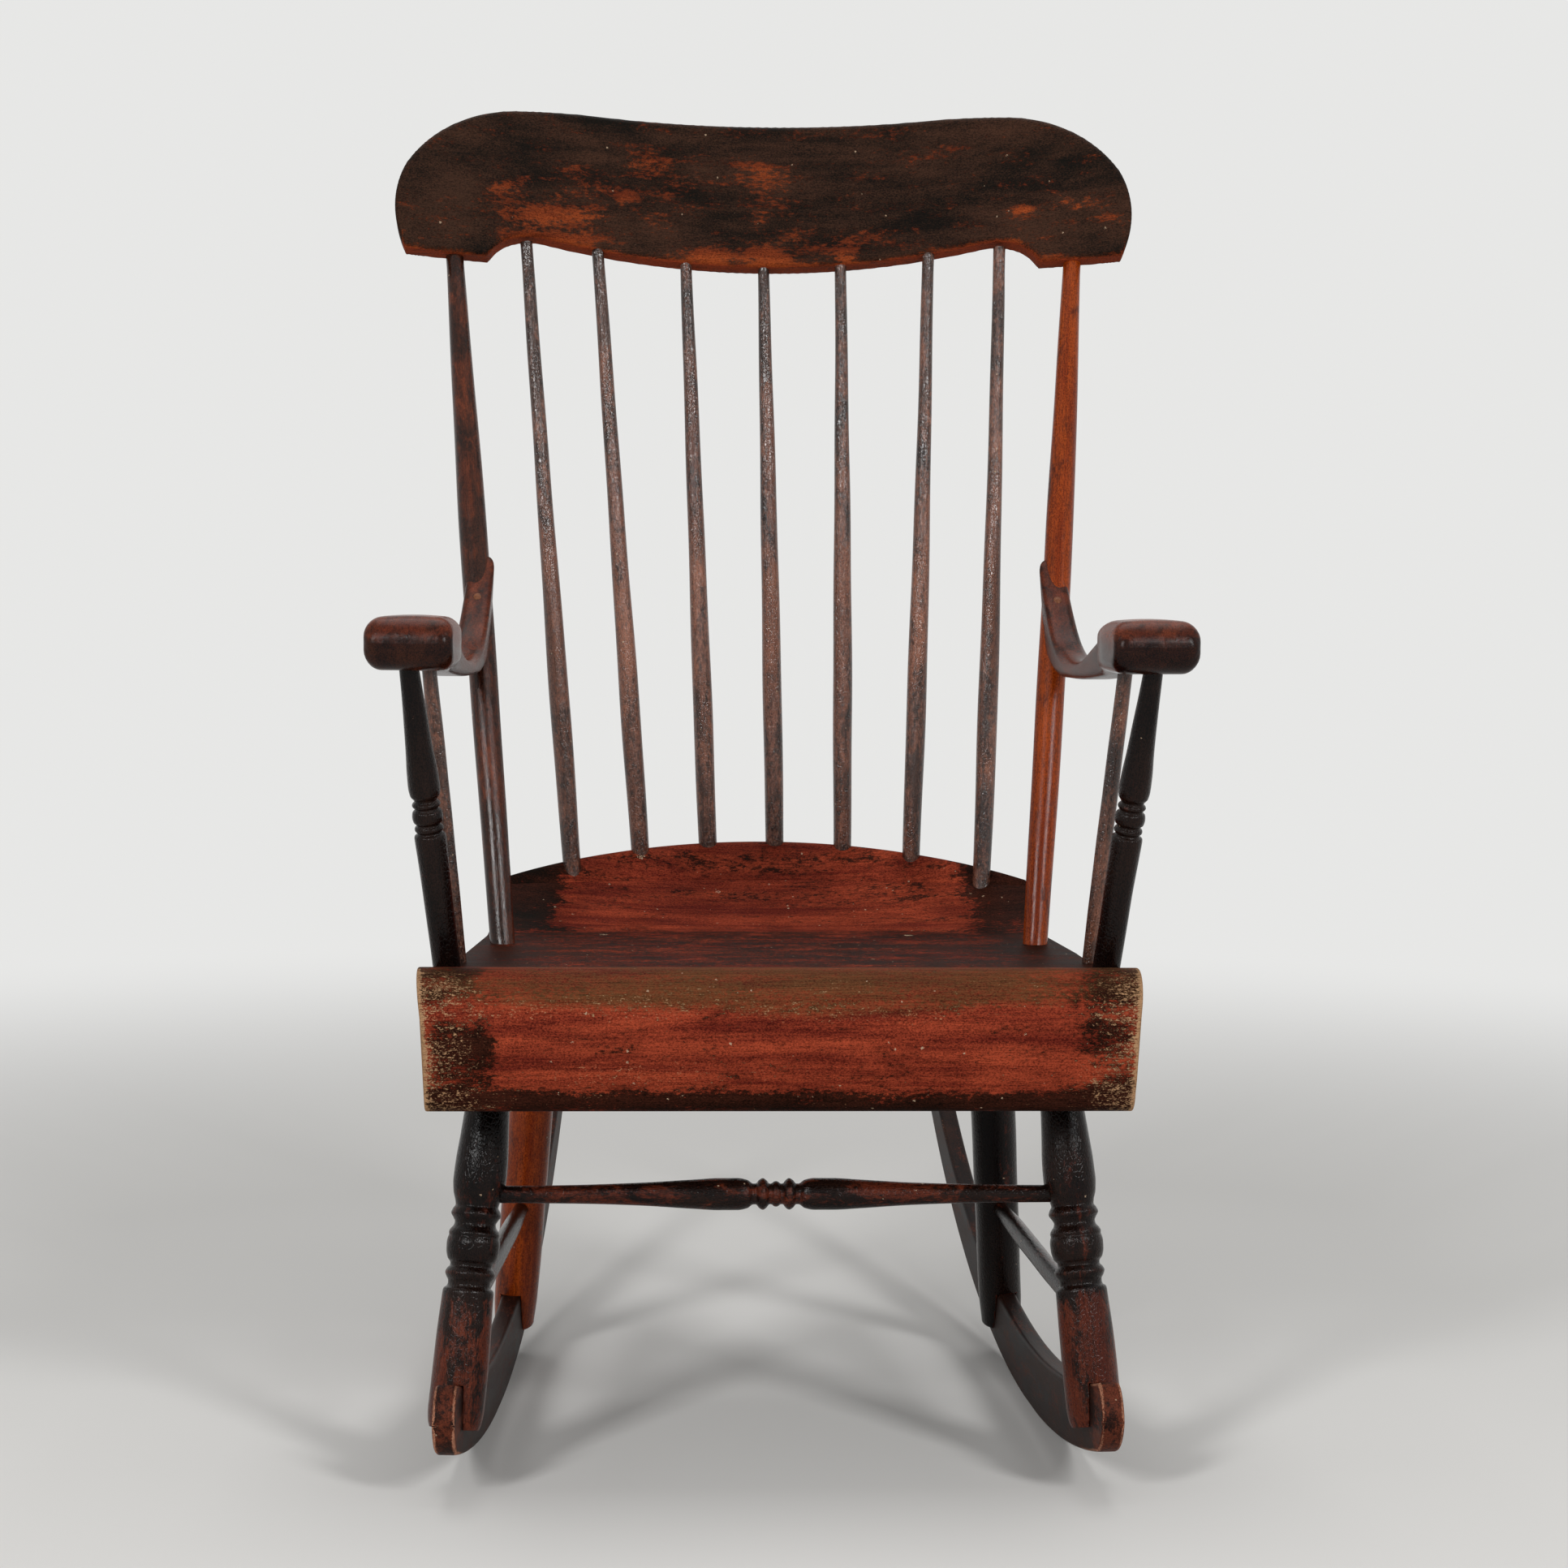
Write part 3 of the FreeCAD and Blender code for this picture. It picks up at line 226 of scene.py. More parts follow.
class Cap(Enum):
    """How the two open ends of a skin are closed."""

    FAN = "triangles to a middle point"
    FACE = "one flat face"


@dataclass
class Skin:
    """A closed surface given as a grid: its rows run along the piece and its columns close round it."""

    name: str
    grid: Array
    grain: Array
    cover: Array
    bare: Array
    tint: Array
    cap: Cap = Cap.FAN

    def _with_poles(self, values: Array) -> Array:
        """Flatten a grid of values and add the means of its first and last row.

        Args:
            values: The values to work on.

        Returns:
            One row of values for each point of the mesh.
        """
        flat = values.reshape(-1, *values.shape[2:])
        if self.cap is Cap.FACE:
            return flat
        return np.concatenate([flat, values[:1].mean(axis=1), values[-1:].mean(axis=1)])

    def make(self) -> bpy.types.Object:
        """Build the mesh: quads between neighbouring rows, then the two ends.

        Returns:
            The new object, linked to the scene, with its masks as point attributes.
        """
        rows, columns = self.grid.shape[:2]
        points = self._with_poles(self.grid)
        index = np.arange(rows * columns).reshape(rows, columns)
        near, far = index[:-1], index[1:]
        quads = np.stack([near, np.roll(near, -1, 1), np.roll(far, -1, 1), far], axis=-1).reshape(-1, 4)
        a, b, c, d = (points[quads[:, k]] for k in range(4))
        volume = (np.cross(b - a, c - a) * a).sum() + (np.cross(c - a, d - a) * a).sum()
        first, last = index[0], index[-1]
        if self.cap is Cap.FACE:
            ends = [first[::-1], last]
            sizes = [columns, columns]
        else:
            pole = rows * columns
            start = np.stack([np.full(columns, pole), np.roll(first, -1), first], axis=-1)
            finish = np.stack([np.full(columns, pole + 1), last, np.roll(last, -1)], axis=-1)
            ends = [start.ravel(), finish.ravel()]
            sizes = [3] * (2 * columns)
        corners = np.concatenate([quads.ravel()] + ends)
        totals = np.concatenate([np.full(len(quads), 4), np.array(sizes)])
        starts = np.concatenate([[0], np.cumsum(totals)[:-1]])
        mesh = bpy.data.meshes.new(self.name)
        mesh.vertices.add(len(points))
        mesh.vertices.foreach_set("co", (points * METRE).astype(np.float32).ravel())
        mesh.loops.add(len(corners))
        mesh.loops.foreach_set("vertex_index", corners.astype(np.int32))
        mesh.polygons.add(len(totals))
        mesh.polygons.foreach_set("loop_start", starts.astype(np.int32))
        mesh.polygons.foreach_set("use_smooth", np.ones(len(totals), bool))
        mesh.update(calc_edges=True)
        for label in ("cover", "bare", "tint"):
            values = self._with_poles(getattr(self, label)).astype(np.float32)
            mesh.attributes.new(label, "FLOAT", "POINT").data.foreach_set("value", values)
        grain = self._with_poles(self.grain) * METRE
        mesh.attributes.new("grain", "FLOAT_VECTOR", "POINT").data.foreach_set(
            "vector", grain.astype(np.float32).ravel())
        mesh.validate()
        if volume < 0:
            mesh.flip_normals()
        thing = bpy.data.objects.new(self.name, mesh)
        bpy.context.scene.collection.objects.link(thing)
        return thing


def bevel_edges(thing: bpy.types.Object, width: float, angle: float = 35.0) -> None:
    """Round a piece's sharp edges with a bevel, width in millimetres, angle in degrees.

    Args:
        thing: The piece.
        width: Width of the bevel in millimetres.
        angle: Least angle between faces.
    """
    modifier = thing.modifiers.new("eased_edges", "BEVEL")
    modifier.width = width * METRE
    modifier.segments = 3
    modifier.limit_method = "ANGLE"
    modifier.angle_limit = math.radians(angle)
    modifier.use_clamp_overlap = True
    modifier.harden_normals = False


def carve(thing: bpy.types.Object, cutter: bpy.types.Object) -> None:
    """Cut one object out of another for good and remove the cutter.

    Args:
        thing: The piece.
        cutter: The object to cut with.
    """
    modifier = thing.modifiers.new("slot", "BOOLEAN")
    modifier.operation = "DIFFERENCE"
    modifier.solver = "EXACT"
    modifier.object = cutter
    bpy.context.view_layer.update()
    shaped = thing.evaluated_get(bpy.context.evaluated_depsgraph_get())
    carved = bpy.data.meshes.new_from_object(shaped)
    thing.modifiers.clear()
    old = thing.data
    thing.data = carved
    bpy.data.meshes.remove(old)
    bpy.data.meshes.remove(cutter.data)


def trim(thing: bpy.types.Object, point: Array, outward: Array) -> None:
    """Cut away what lies beyond a plane, given in millimetres, and close the cut.

    Args:
        thing: The piece.
        point: A point of the plane.
        outward: The plane's normal.
    """
    mesh = bmesh.new()
    mesh.from_mesh(thing.data)
    result = bmesh.ops.bisect_plane(
        mesh, geom=mesh.verts[:] + mesh.edges[:] + mesh.faces[:], plane_co=Vector(point * METRE),
        plane_no=Vector(outward), clear_outer=True)
    edges = [item for item in result["geom_cut"] if isinstance(item, bmesh.types.BMEdge)]
    bmesh.ops.contextual_create(mesh, geom=edges)
    mesh.to_mesh(thing.data)
    mesh.free()


# The chair's lines


@dataclass(frozen=True)
class Layout:
    """Sizes that several pieces share, as in the solids, in millimetres and degrees."""

    seat_height: float = 372.0
    plank_thickness: float = 42.0
    dish_depth: float = 5.5
    seam_rise: float = 24.0
    seam_radius: float = 686.0
    ramp_centre_reach: float = 315.0
    rear_roll_slope: float = 27.0 / 49.0
    rocker_length: float = 807.0
    rocker_nose_reach: float = 30.0
    rocker_nose_half_gap: float = 234.0
    rocker_toe: float = 4.4
    front_foot_setback: float = 26.0
    rear_foot_setback: float = 392.0
    crest_height: float = 888.5
    arm_underside: float = 583.0
    crest_setback: float = 438.0
    crest_lean: float = 20.0
    crest_bow_radius: float = 1120.0
    crest_rise: float = 133.0
    crest_dip_share: float = 0.023
    post_bend: float = 14.0
    post_diameter: float = 22.0
    post_top_half_gap: float = 250.0
    peg_rise: float = 33.0
    peg_angle: float = 39.0
    peg_place_on_post: float = 0.42
    peg_inner: float = 6.0
    peg_outer: float = 18.6
    spindle_spacing: float = 55.0
    spindle_shift: float = 11.5
    spindle_row_setback: float = 90.0
    spindle_row_radius: float = 315.0
    spindle_top_half_gap: float = 192.0
    spindle_top_shares: tuple[float, ...] = (0.0, 0.33, 0.70, 1.0)

    @property
    def front_y(self) -> float:
        """Y of the seat's front crest line."""
        return self.rocker_nose_reach - self.rocker_length * math.cos(math.radians(self.rocker_toe)) / 2

    @property
    def underside(self) -> float:
        """Height of the plank's underside."""
        return self.seat_height - self.plank_thickness

    @property
    def dish(self) -> float:
        """Height of the dish."""
        return self.seat_height - self.dish_depth

    @property
    def seam(self) -> float:
        """Height of the joint under the rear roll."""
        return self.seat_height + self.seam_rise

    def place(self, half_gap: float, setback: float, height: float, side: int = 1) -> Array:
        """A point from its half gap, its setback from the seat's front crest, and its height."""
        return np.array([side * half_gap, self.front_y + setback, height])

    def foot(self, setback: float, height: float, side: int) -> Array:
        """A leg's foot, over the middle of its rocker."""
        drawn_in = math.tan(math.radians(self.rocker_toe)) * (setback + self.rocker_nose_reach)
        return self.place(self.rocker_nose_half_gap - drawn_in, setback, height, side)

    def crest_y(self, half_gap: float) -> float:
        """Setback of the crest's middle surface at its lower edge."""
        radius = self.crest_bow_radius
        return self.crest_setback - radius + math.sqrt(radius * radius - half_gap * half_gap)

    def front_leg(self, side: int) -> Line:
        """Foot and top of a front leg."""
        return (self.foot(self.front_foot_setback, 42.0, side),
                self.place(202.0, 91.0, self.underside, side))

    def rear_leg(self, side: int) -> Line:
        """Foot and top of a rear leg."""
        return (self.foot(self.rear_foot_setback, 28.0, side),
                self.place(176.0, 287.0, self.underside, side))

    def back_post(self, side: int) -> Line:
        """Foot and top of a back post.

        Args:
            side: One for the sitter's left, minus one for the right.

        Returns:
            The two points.
        """
        gap = self.post_top_half_gap
        return (self.place(203.0, 206.0, self.dish, side),
                self.place(gap, self.crest_y(gap), self.crest_height, side))

    def arm_post(self, side: int) -> Line:
        """Foot and top of a turned arm post."""
        return self.place(236.0, 56.0, self.dish, side), self.place(259.0, 8.0, self.arm_underside, side)

    def arm_peg(self, side: int) -> Line:
        """Inner end and mouth of an arm's peg, which runs out from the back post's bent axis.

        Args:
            side: One for the sitter's left, minus one for the right.

        Returns:
            The two points.
        """
        centre = height_point(self.back_post(side), self.arm_underside + self.peg_rise)
        share = self.peg_place_on_post
        centre = centre - (0.0, 4 * self.post_bend * share * (1 - share), 0.0)
        angle = math.radians(self.peg_angle)
        way = np.array([0.0, -math.cos(angle), math.sin(angle)])
        return centre - self.peg_inner * way, centre + self.peg_outer * way

    def arm_spindle(self, side: int) -> Line:
        """Foot and top of a plain arm spindle."""
        return self.place(230.0, 100.0, self.dish, side), self.place(250.0, 76.0, self.arm_underside, side)

    def spindle(self, number: int) -> Line:
        """Foot and top of a back spindle, numbered from the middle, negative to the right.

        Args:
            number: The spindle's number.

        Returns:
            The two points.
        """
        side = 1 if number >= 0 else -1
        foot_gap = self.spindle_spacing * number + self.spindle_shift
        setback = self.spindle_row_setback + math.sqrt(self.spindle_row_radius ** 2 - foot_gap ** 2)
        radius = math.hypot(setback + self.ramp_centre_reach, foot_gap)
        height = self.seam + self.rear_roll_slope * (radius - self.seam_radius)
        top_gap = self.spindle_top_half_gap * self.spindle_top_shares[abs(number)]
        top = self.crest_height + self.crest_rise * self.crest_dip_share
        return (self.place(foot_gap, setback, height),
                self.place(top_gap, self.crest_y(top_gap), top, side))


LAYOUT = Layout()


def height_point(line: Line, height: float) -> Array:
    """The point of a line that has the given height."""
    start, end = line
    return start + (end - start) * (height - start[2]) / (end[2] - start[2])


def stick_axes(start: Array, end: Array) -> Array:
    """Rows: the X, Y and Z axis of a stick, upright axes tilted the short way until Z runs along it.

    Args:
        start: Where it starts.
        end: Where it ends.

    Returns:
        The three unit vectors.
    """
    way = (end - start) / np.linalg.norm(end - start)
    turn = Vector((0.0, 0.0, 1.0)).rotation_difference(Vector(way)).to_matrix()
    return np.array(turn).T


# Round pieces


@dataclass
class Stick:
    """A round piece from start to end, turned to a profile and perhaps bent forwards.

    The seed moves the grain, so that no two sticks match. The cover is how much dark paint is left, from
    nought to one; rub gives it by share of length instead. The ring wear is for the proud rings.
    """

    name: str
    start: Array
    end: Array
    diameter: float
    profile: Knots
    seed: float
    cover: float = 0.8
    ring_wear: float = 0.2
    rub: Optional[Knots] = None
    bend: float = 0.0
    beyond: tuple[float, float] = (0.0, 0.0)
    rows: int = 220
    columns: int = 56
    wobble: float = 0.12

    def skin(self) -> Skin:
        """Work the surface out: a circle of the profile's radius, carried along the bent axis.

        The axis leaves the straight line by four times the bend times share times one less share.

        Returns:
            The skin, with its masks.
        """
        length = float(np.linalg.norm(self.end - self.start))
        x_axis, y_axis, z_axis = stick_axes(self.start, self.end)
        share = np.linspace(-self.beyond[0] / length, 1 + self.beyond[1] / length, self.rows)
        inside = np.clip(share, 0, 1)
        radius = self.diameter / 2 * smooth_knots(self.profile, inside)
        angle = np.linspace(0, 2 * math.pi, self.columns, endpoint=False)
        s, a, seed = share[:, None], angle[None, :], self.seed
        uneven = self.wobble * (np.sin(9 * s + 2 * a + seed) + np.sin(23 * s - a + 2.3 * seed)) / 2
        reach = radius[:, None] + uneven
        centre = (self.start + np.outer(share * length, z_axis)
                  - np.outer(4 * self.bend * inside * (1 - inside), y_axis))
        grid = (centre[:, None, :] + (reach * np.cos(a))[..., None] * x_axis
                + (reach * np.sin(a))[..., None] * y_axis)
        flat = radius - blur(radius, max(2, self.rows // 40))
        even = np.ones_like(reach)
        proud = np.clip(flat / 1.1, 0, 1)[:, None] * even
        left = self.cover if self.rub is None else smooth_knots(self.rub, inside)[:, None]
        grain = np.stack([s * length + 37.0 * seed + 0 * a, reach * np.cos(a) + 71.0 * seed,
                          reach * np.sin(a) + 0 * s], axis=-1)
        return Skin(self.name, grid, grain, left * even, self.ring_wear * proud, np.zeros_like(reach))


class Side(Enum):
    """The two sides of the chair, as the sitter has them."""

    LEFT = 1
    RIGHT = -1

    @property
    def word(self) -> str:
        """The side's name in piece names."""
        return self.name.lower()


# Paint


class Wiring:
    """Short ways to add nodes to a tree and to join them."""

    def __init__(self, tree: bpy.types.NodeTree) -> None:
        """Work on one tree."""
        self.tree = tree

    def add(self, kind: str, **settings: object) -> bpy.types.Node:
        """A new shader node with its settings.

        Args:
            kind: Which kind, in Blender's own word.
            settings: Settings of the node by name.

        Returns:
            The node.
        """
        node = self.tree.nodes.new(f"ShaderNode{kind}")
        for label, value in settings.items():
            setattr(node, label, value)
        return node

    def feed(self, socket: bpy.types.NodeSocket, value: object) -> None:
        """Link an output to a socket, or set the socket's own value.

        Args:
            socket: The input to feed.
            value: A number, a colour or another node's output.
        """
        if isinstance(value, bpy.types.NodeSocket):
            self.tree.links.new(value, socket)
        else:
            socket.default_value = value

    def maths(self, operation: str, *values: object, clamp: bool = False) -> bpy.types.NodeSocket:
        """A Math node's result.

        Args:
            operation: Blender's word for the operation.
            values: The node's inputs in order.
            clamp: Whether the result is held between nought and one.

        Returns:
            The result's socket.
        """
        node = self.add("Math", operation=operation, use_clamp=clamp)
        for socket, value in zip(node.inputs, values):
            self.feed(socket, value)
        return node.outputs[0]

    def total(self, first: object, *others: object) -> bpy.types.NodeSocket:
        """The sum of some values.

        Args:
            first: The value to start from.
            others: The values to add to it.

        Returns:
            The result's socket.
        """
        for value in others:
            first = self.maths("ADD", first, value)
        return first

    def weighted(self, *pairs: tuple[object, float]) -> bpy.types.NodeSocket:
        """The sum of some values, each times its weight."""
        return self.total(*(self.maths("MULTIPLY", *pair) for pair in pairs))

    def swing(self, value: object, size: float) -> bpy.types.NodeSocket:
        """How far a value lies from a half, times a size."""
        return self.maths("MULTIPLY", self.maths("SUBTRACT", value, 0.5), size)

    def scaled(self, vector: object, scale: Sequence[float]) -> bpy.types.NodeSocket:
        """A vector times a scale along each axis.

        Args:
            vector: Where the pattern is read.
            scale: How fine the pattern is.

        Returns:
            The result's socket.
        """
        node = self.add("VectorMath", operation="MULTIPLY")
        self.feed(node.inputs[0], vector)
        node.inputs[1].default_value = scale
        return node.outputs[0]

    def noise(self, vector: object, scale: Sequence[float] | float = 1.0, detail: float = 5.0,
              roughness: float = 0.6, distortion: float = 0.0) -> bpy.types.NodeSocket:
        """A Noise texture's value, its scale one number or one for each axis.

        Args:
            vector: Where the pattern is read.
            scale: How fine the pattern is.
            detail: How many finer layers it has.
            roughness: How strong the finer layers are.
            distortion: How far it is bent.

        Returns:
            The result's socket.
        """
        node = self.add("TexNoise")
        even = isinstance(scale, float)
        self.feed(node.inputs["Vector"], vector if even else self.scaled(vector, scale))
        for label, number in (("Scale", scale if even else 1.0), ("Detail", detail),
                              ("Roughness", roughness), ("Distortion", distortion)):
            node.inputs[label].default_value = number
        return node.outputs["Fac"]

    def spread(self, value: object, low: float, high: float, to_low: float = 0.0, to_high: float = 1.0
               ) -> bpy.types.NodeSocket:
        """Map a value smoothly from one range to another, held at both ends.

        Args:
            value: A number, a colour or another node's output.
            low: Where the range starts.
            high: Where the range ends.
            to_low: Result at the start.
            to_high: Result at the end.

        Returns:
            The result's socket.
        """
        node = self.add("MapRange", interpolation_type="SMOOTHSTEP")
        for label, number in (("Value", value), ("From Min", low), ("From Max", high), ("To Min", to_low),
                              ("To Max", to_high)):
            self.feed(node.inputs[label], number)
        return node.outputs[0]

    def mix(self, share: object, first: object, second: object, kind: str = "MIX") -> bpy.types.NodeSocket:
        """Blend two colours.

        Args:
            share: How much of the second colour shows.
            first: The first colour.
            second: The second colour.
            kind: Which kind, in Blender's own word.

        Returns:
            The result's socket.
        """
        node = self.add("Mix", data_type="RGBA", blend_type=kind)
        self.feed(node.inputs[0], share)
        for socket, value in ((node.inputs[6], first), (node.inputs[7], second)):
            self.feed(socket, value if isinstance(value, bpy.types.NodeSocket) else (*value, 1.0))
        return node.outputs[2]

    def attribute(self, name: str, part: str = "Fac") -> bpy.types.NodeSocket:
        """A named attribute of the mesh."""
        return self.add("Attribute", attribute_name=name).outputs[part]

    def group(self, tree: bpy.types.NodeTree, **values: object) -> bpy.types.Node:
        """Place a node group and feed its inputs by name.

        Args:
            tree: The group's tree.
            values: The group's inputs by name.

        Returns:
            The placed group.
        """
        node = self.add("Group", node_tree=tree)
        for label, value in values.items():
            self.feed(node.inputs[label], value)
        return node

    def shown(self) -> bpy.types.NodeSocket:
        """One for rays from the camera, off a gloss or through glass, and nought for light on the chair.

        Returns:
            The result's socket.
        """
        path = self.add("LightPath").outputs
        seen = self.maths("MAXIMUM", path["Is Camera Ray"], path["Is Glossy Ray"])
        return self.maths("MAXIMUM", seen, path["Is Transmission Ray"])


def new_group(name: str, inputs: dict[str, Optional[float]], outputs: Sequence[str]
              ) -> tuple[Wiring, bpy.types.NodeOutputs, bpy.types.NodeInputs]:
    """Make a shader node group with named sockets.

    Args:
        name: The group's name.
        inputs: Name and default of each input: a number, or None for a vector that has no default.
        outputs: Name of each output, all of them numbers.

    Returns:
        The wiring of the group's tree, what comes in and what goes out.
    """
    tree = bpy.data.node_groups.new(name, "ShaderNodeTree")
    for label, value in inputs.items():
        kind = "NodeSocketVector" if value is None else "NodeSocketFloat"
        socket = tree.interface.new_socket(label, in_out="INPUT", socket_type=kind)
        if value is not None:
            socket.default_value = value
    for label in outputs:
        tree.interface.new_socket(label, in_out="OUTPUT", socket_type="NodeSocketFloat")
    return Wiring(tree), tree.nodes.new("NodeGroupInput").outputs, tree.nodes.new("NodeGroupOutput").inputs


class PaintBox:
    """The effects that the finishes share, each a node group made once."""

    def __init__(self) -> None:
        """Make the groups."""
        self.grain = self._grain()
        self.rub = self._rub()
        self.crackle = self._crackle()
        self.flecks = self._flecks()

    @staticmethod
    def _grain() -> bpy.types.NodeTree:
        """Long wood grain: broad streaks, fine pores and clouds, all drawn out along the first axis.

        Returns:
            The group's tree.
        """
        w, given, out = new_group("long_grain", {"Vector": None}, ("Streak", "Pore", "Cloud"))
        vector = given["Vector"]
        w.feed(out["Streak"], w.noise(vector, (5.0, 95.0, 95.0), 6.0, 0.62, 0.4))
        w.feed(out["Pore"], w.noise(vector, (45.0, 1300.0, 1300.0), 3.0, 0.7))
        w.feed(out["Cloud"], w.noise(vector, (9.0, 22.0, 22.0), 5.0, 0.6, 0.3))
        return w.tree

    @staticmethod
    def _rub() -> bpy.types.NodeTree:
        """Where paint is left: the cover mask broken up by patches, streaks, small chips and crumbs.

        Returns:
            The group's tree.
        """
        w, given, out = new_group(
            "rubbed_paint", {"Vector": None, "Cover": 0.8, "Streak": 0.5, "Break": 1.0, "Fine": 1.0},
            ("Paint", "Speckle", "Crumb"))
        vector = given["Vector"]
        patch = w.noise(vector, (24.0, 60.0, 60.0), 8.0, 0.72, 0.6)
        chips = w.noise(vector, (230.0, 420.0, 420.0), 3.0, 0.7)
        speckle = w.noise(vector, (650.0, 1000.0, 1000.0), 2.0, 0.7)
        fine = w.total(w.swing(chips, 0.9), w.swing(speckle, 0.8))
        uneven = w.total(w.swing(patch, 1.5), w.maths("MULTIPLY", fine, given["Fine"]),
                         w.swing(given["Streak"], 1.0))
        left = w.total(given["Cover"], w.maths("MULTIPLY", uneven, given["Break"]))
        w.feed(out["Paint"], w.spread(left, 0.32, 0.66))
        w.feed(out["Speckle"], speckle)
        w.feed(out["Crumb"], w.total(fine, 0.5))
        return w.tree

    @staticmethod
    def _crackle() -> bpy.types.NodeTree:
        """Old paint's fine cracks: thin low lines between islands, from the distance to cell edges.

        Returns:
            The group's tree.
        """
        w, given, out = new_group("crackle", {"Vector": None, "Scale": 350.0}, ("Island",))
        cells = w.add("TexVoronoi", feature="DISTANCE_TO_EDGE")
        w.feed(cells.inputs["Vector"], w.scaled(given["Vector"], (0.6, 1.0, 1.0)))
        w.feed(cells.inputs["Scale"], given["Scale"])
        w.feed(out["Island"], w.spread(cells.outputs["Distance"], 0.0, 0.16))
        return w.tree

    @staticmethod
    def _flecks() -> bpy.types.NodeTree:
        """Scattered pale flecks: a ragged dot in some cells of a fine pattern.

        Returns:
            The group's tree.
        """
        w, given, out = new_group("flecks", {"Vector": None, "Scale": 180.0, "Amount": 0.1}, ("Fleck",))
        cells, split = w.add("TexVoronoi"), w.add("SeparateColor")
        w.feed(cells.inputs["Vector"], given["Vector"])
        w.feed(cells.inputs["Scale"], given["Scale"])
        w.feed(split.inputs[0], cells.outputs["Color"])
        chosen = w.maths("LESS_THAN", split.outputs[0], given["Amount"])
        ragged = w.spread(w.noise(given["Vector"], 900.0, 2.0, 0.7), 0.35, 0.65, 0.3, 1.6)
        size = w.maths("MULTIPLY", w.maths("MULTIPLY", split.outputs[1], 0.17), ragged)
        dot = w.maths("LESS_THAN", cells.outputs["Distance"], size)
        w.feed(out["Fleck"], w.maths("MULTIPLY", chosen, dot))
        return w.tree


class Slot(Enum):
    """The record's material slots."""

    SEAT = "seat_paint"
    CREST = "crest_paint"
    TURNED = "turned_paint"
    SPINDLE = "spindle_paint"
    ARM = "arm_paint"
    ROCKER = "rocker_paint"
    VARNISH = "varnished_wood"
    PEG = "peg_wood"


@dataclass(frozen=True)
class Speck:
    """One kind of pale speck: how fine its pattern is, how much it covers and its colour."""

    scale: float
    strength: float
    colour: Colour


FLECK = Speck(210.0, 0.8, (0.42, 0.30, 0.20))
CHIP = Speck(55.0, 0.9, (0.55, 0.42, 0.28))


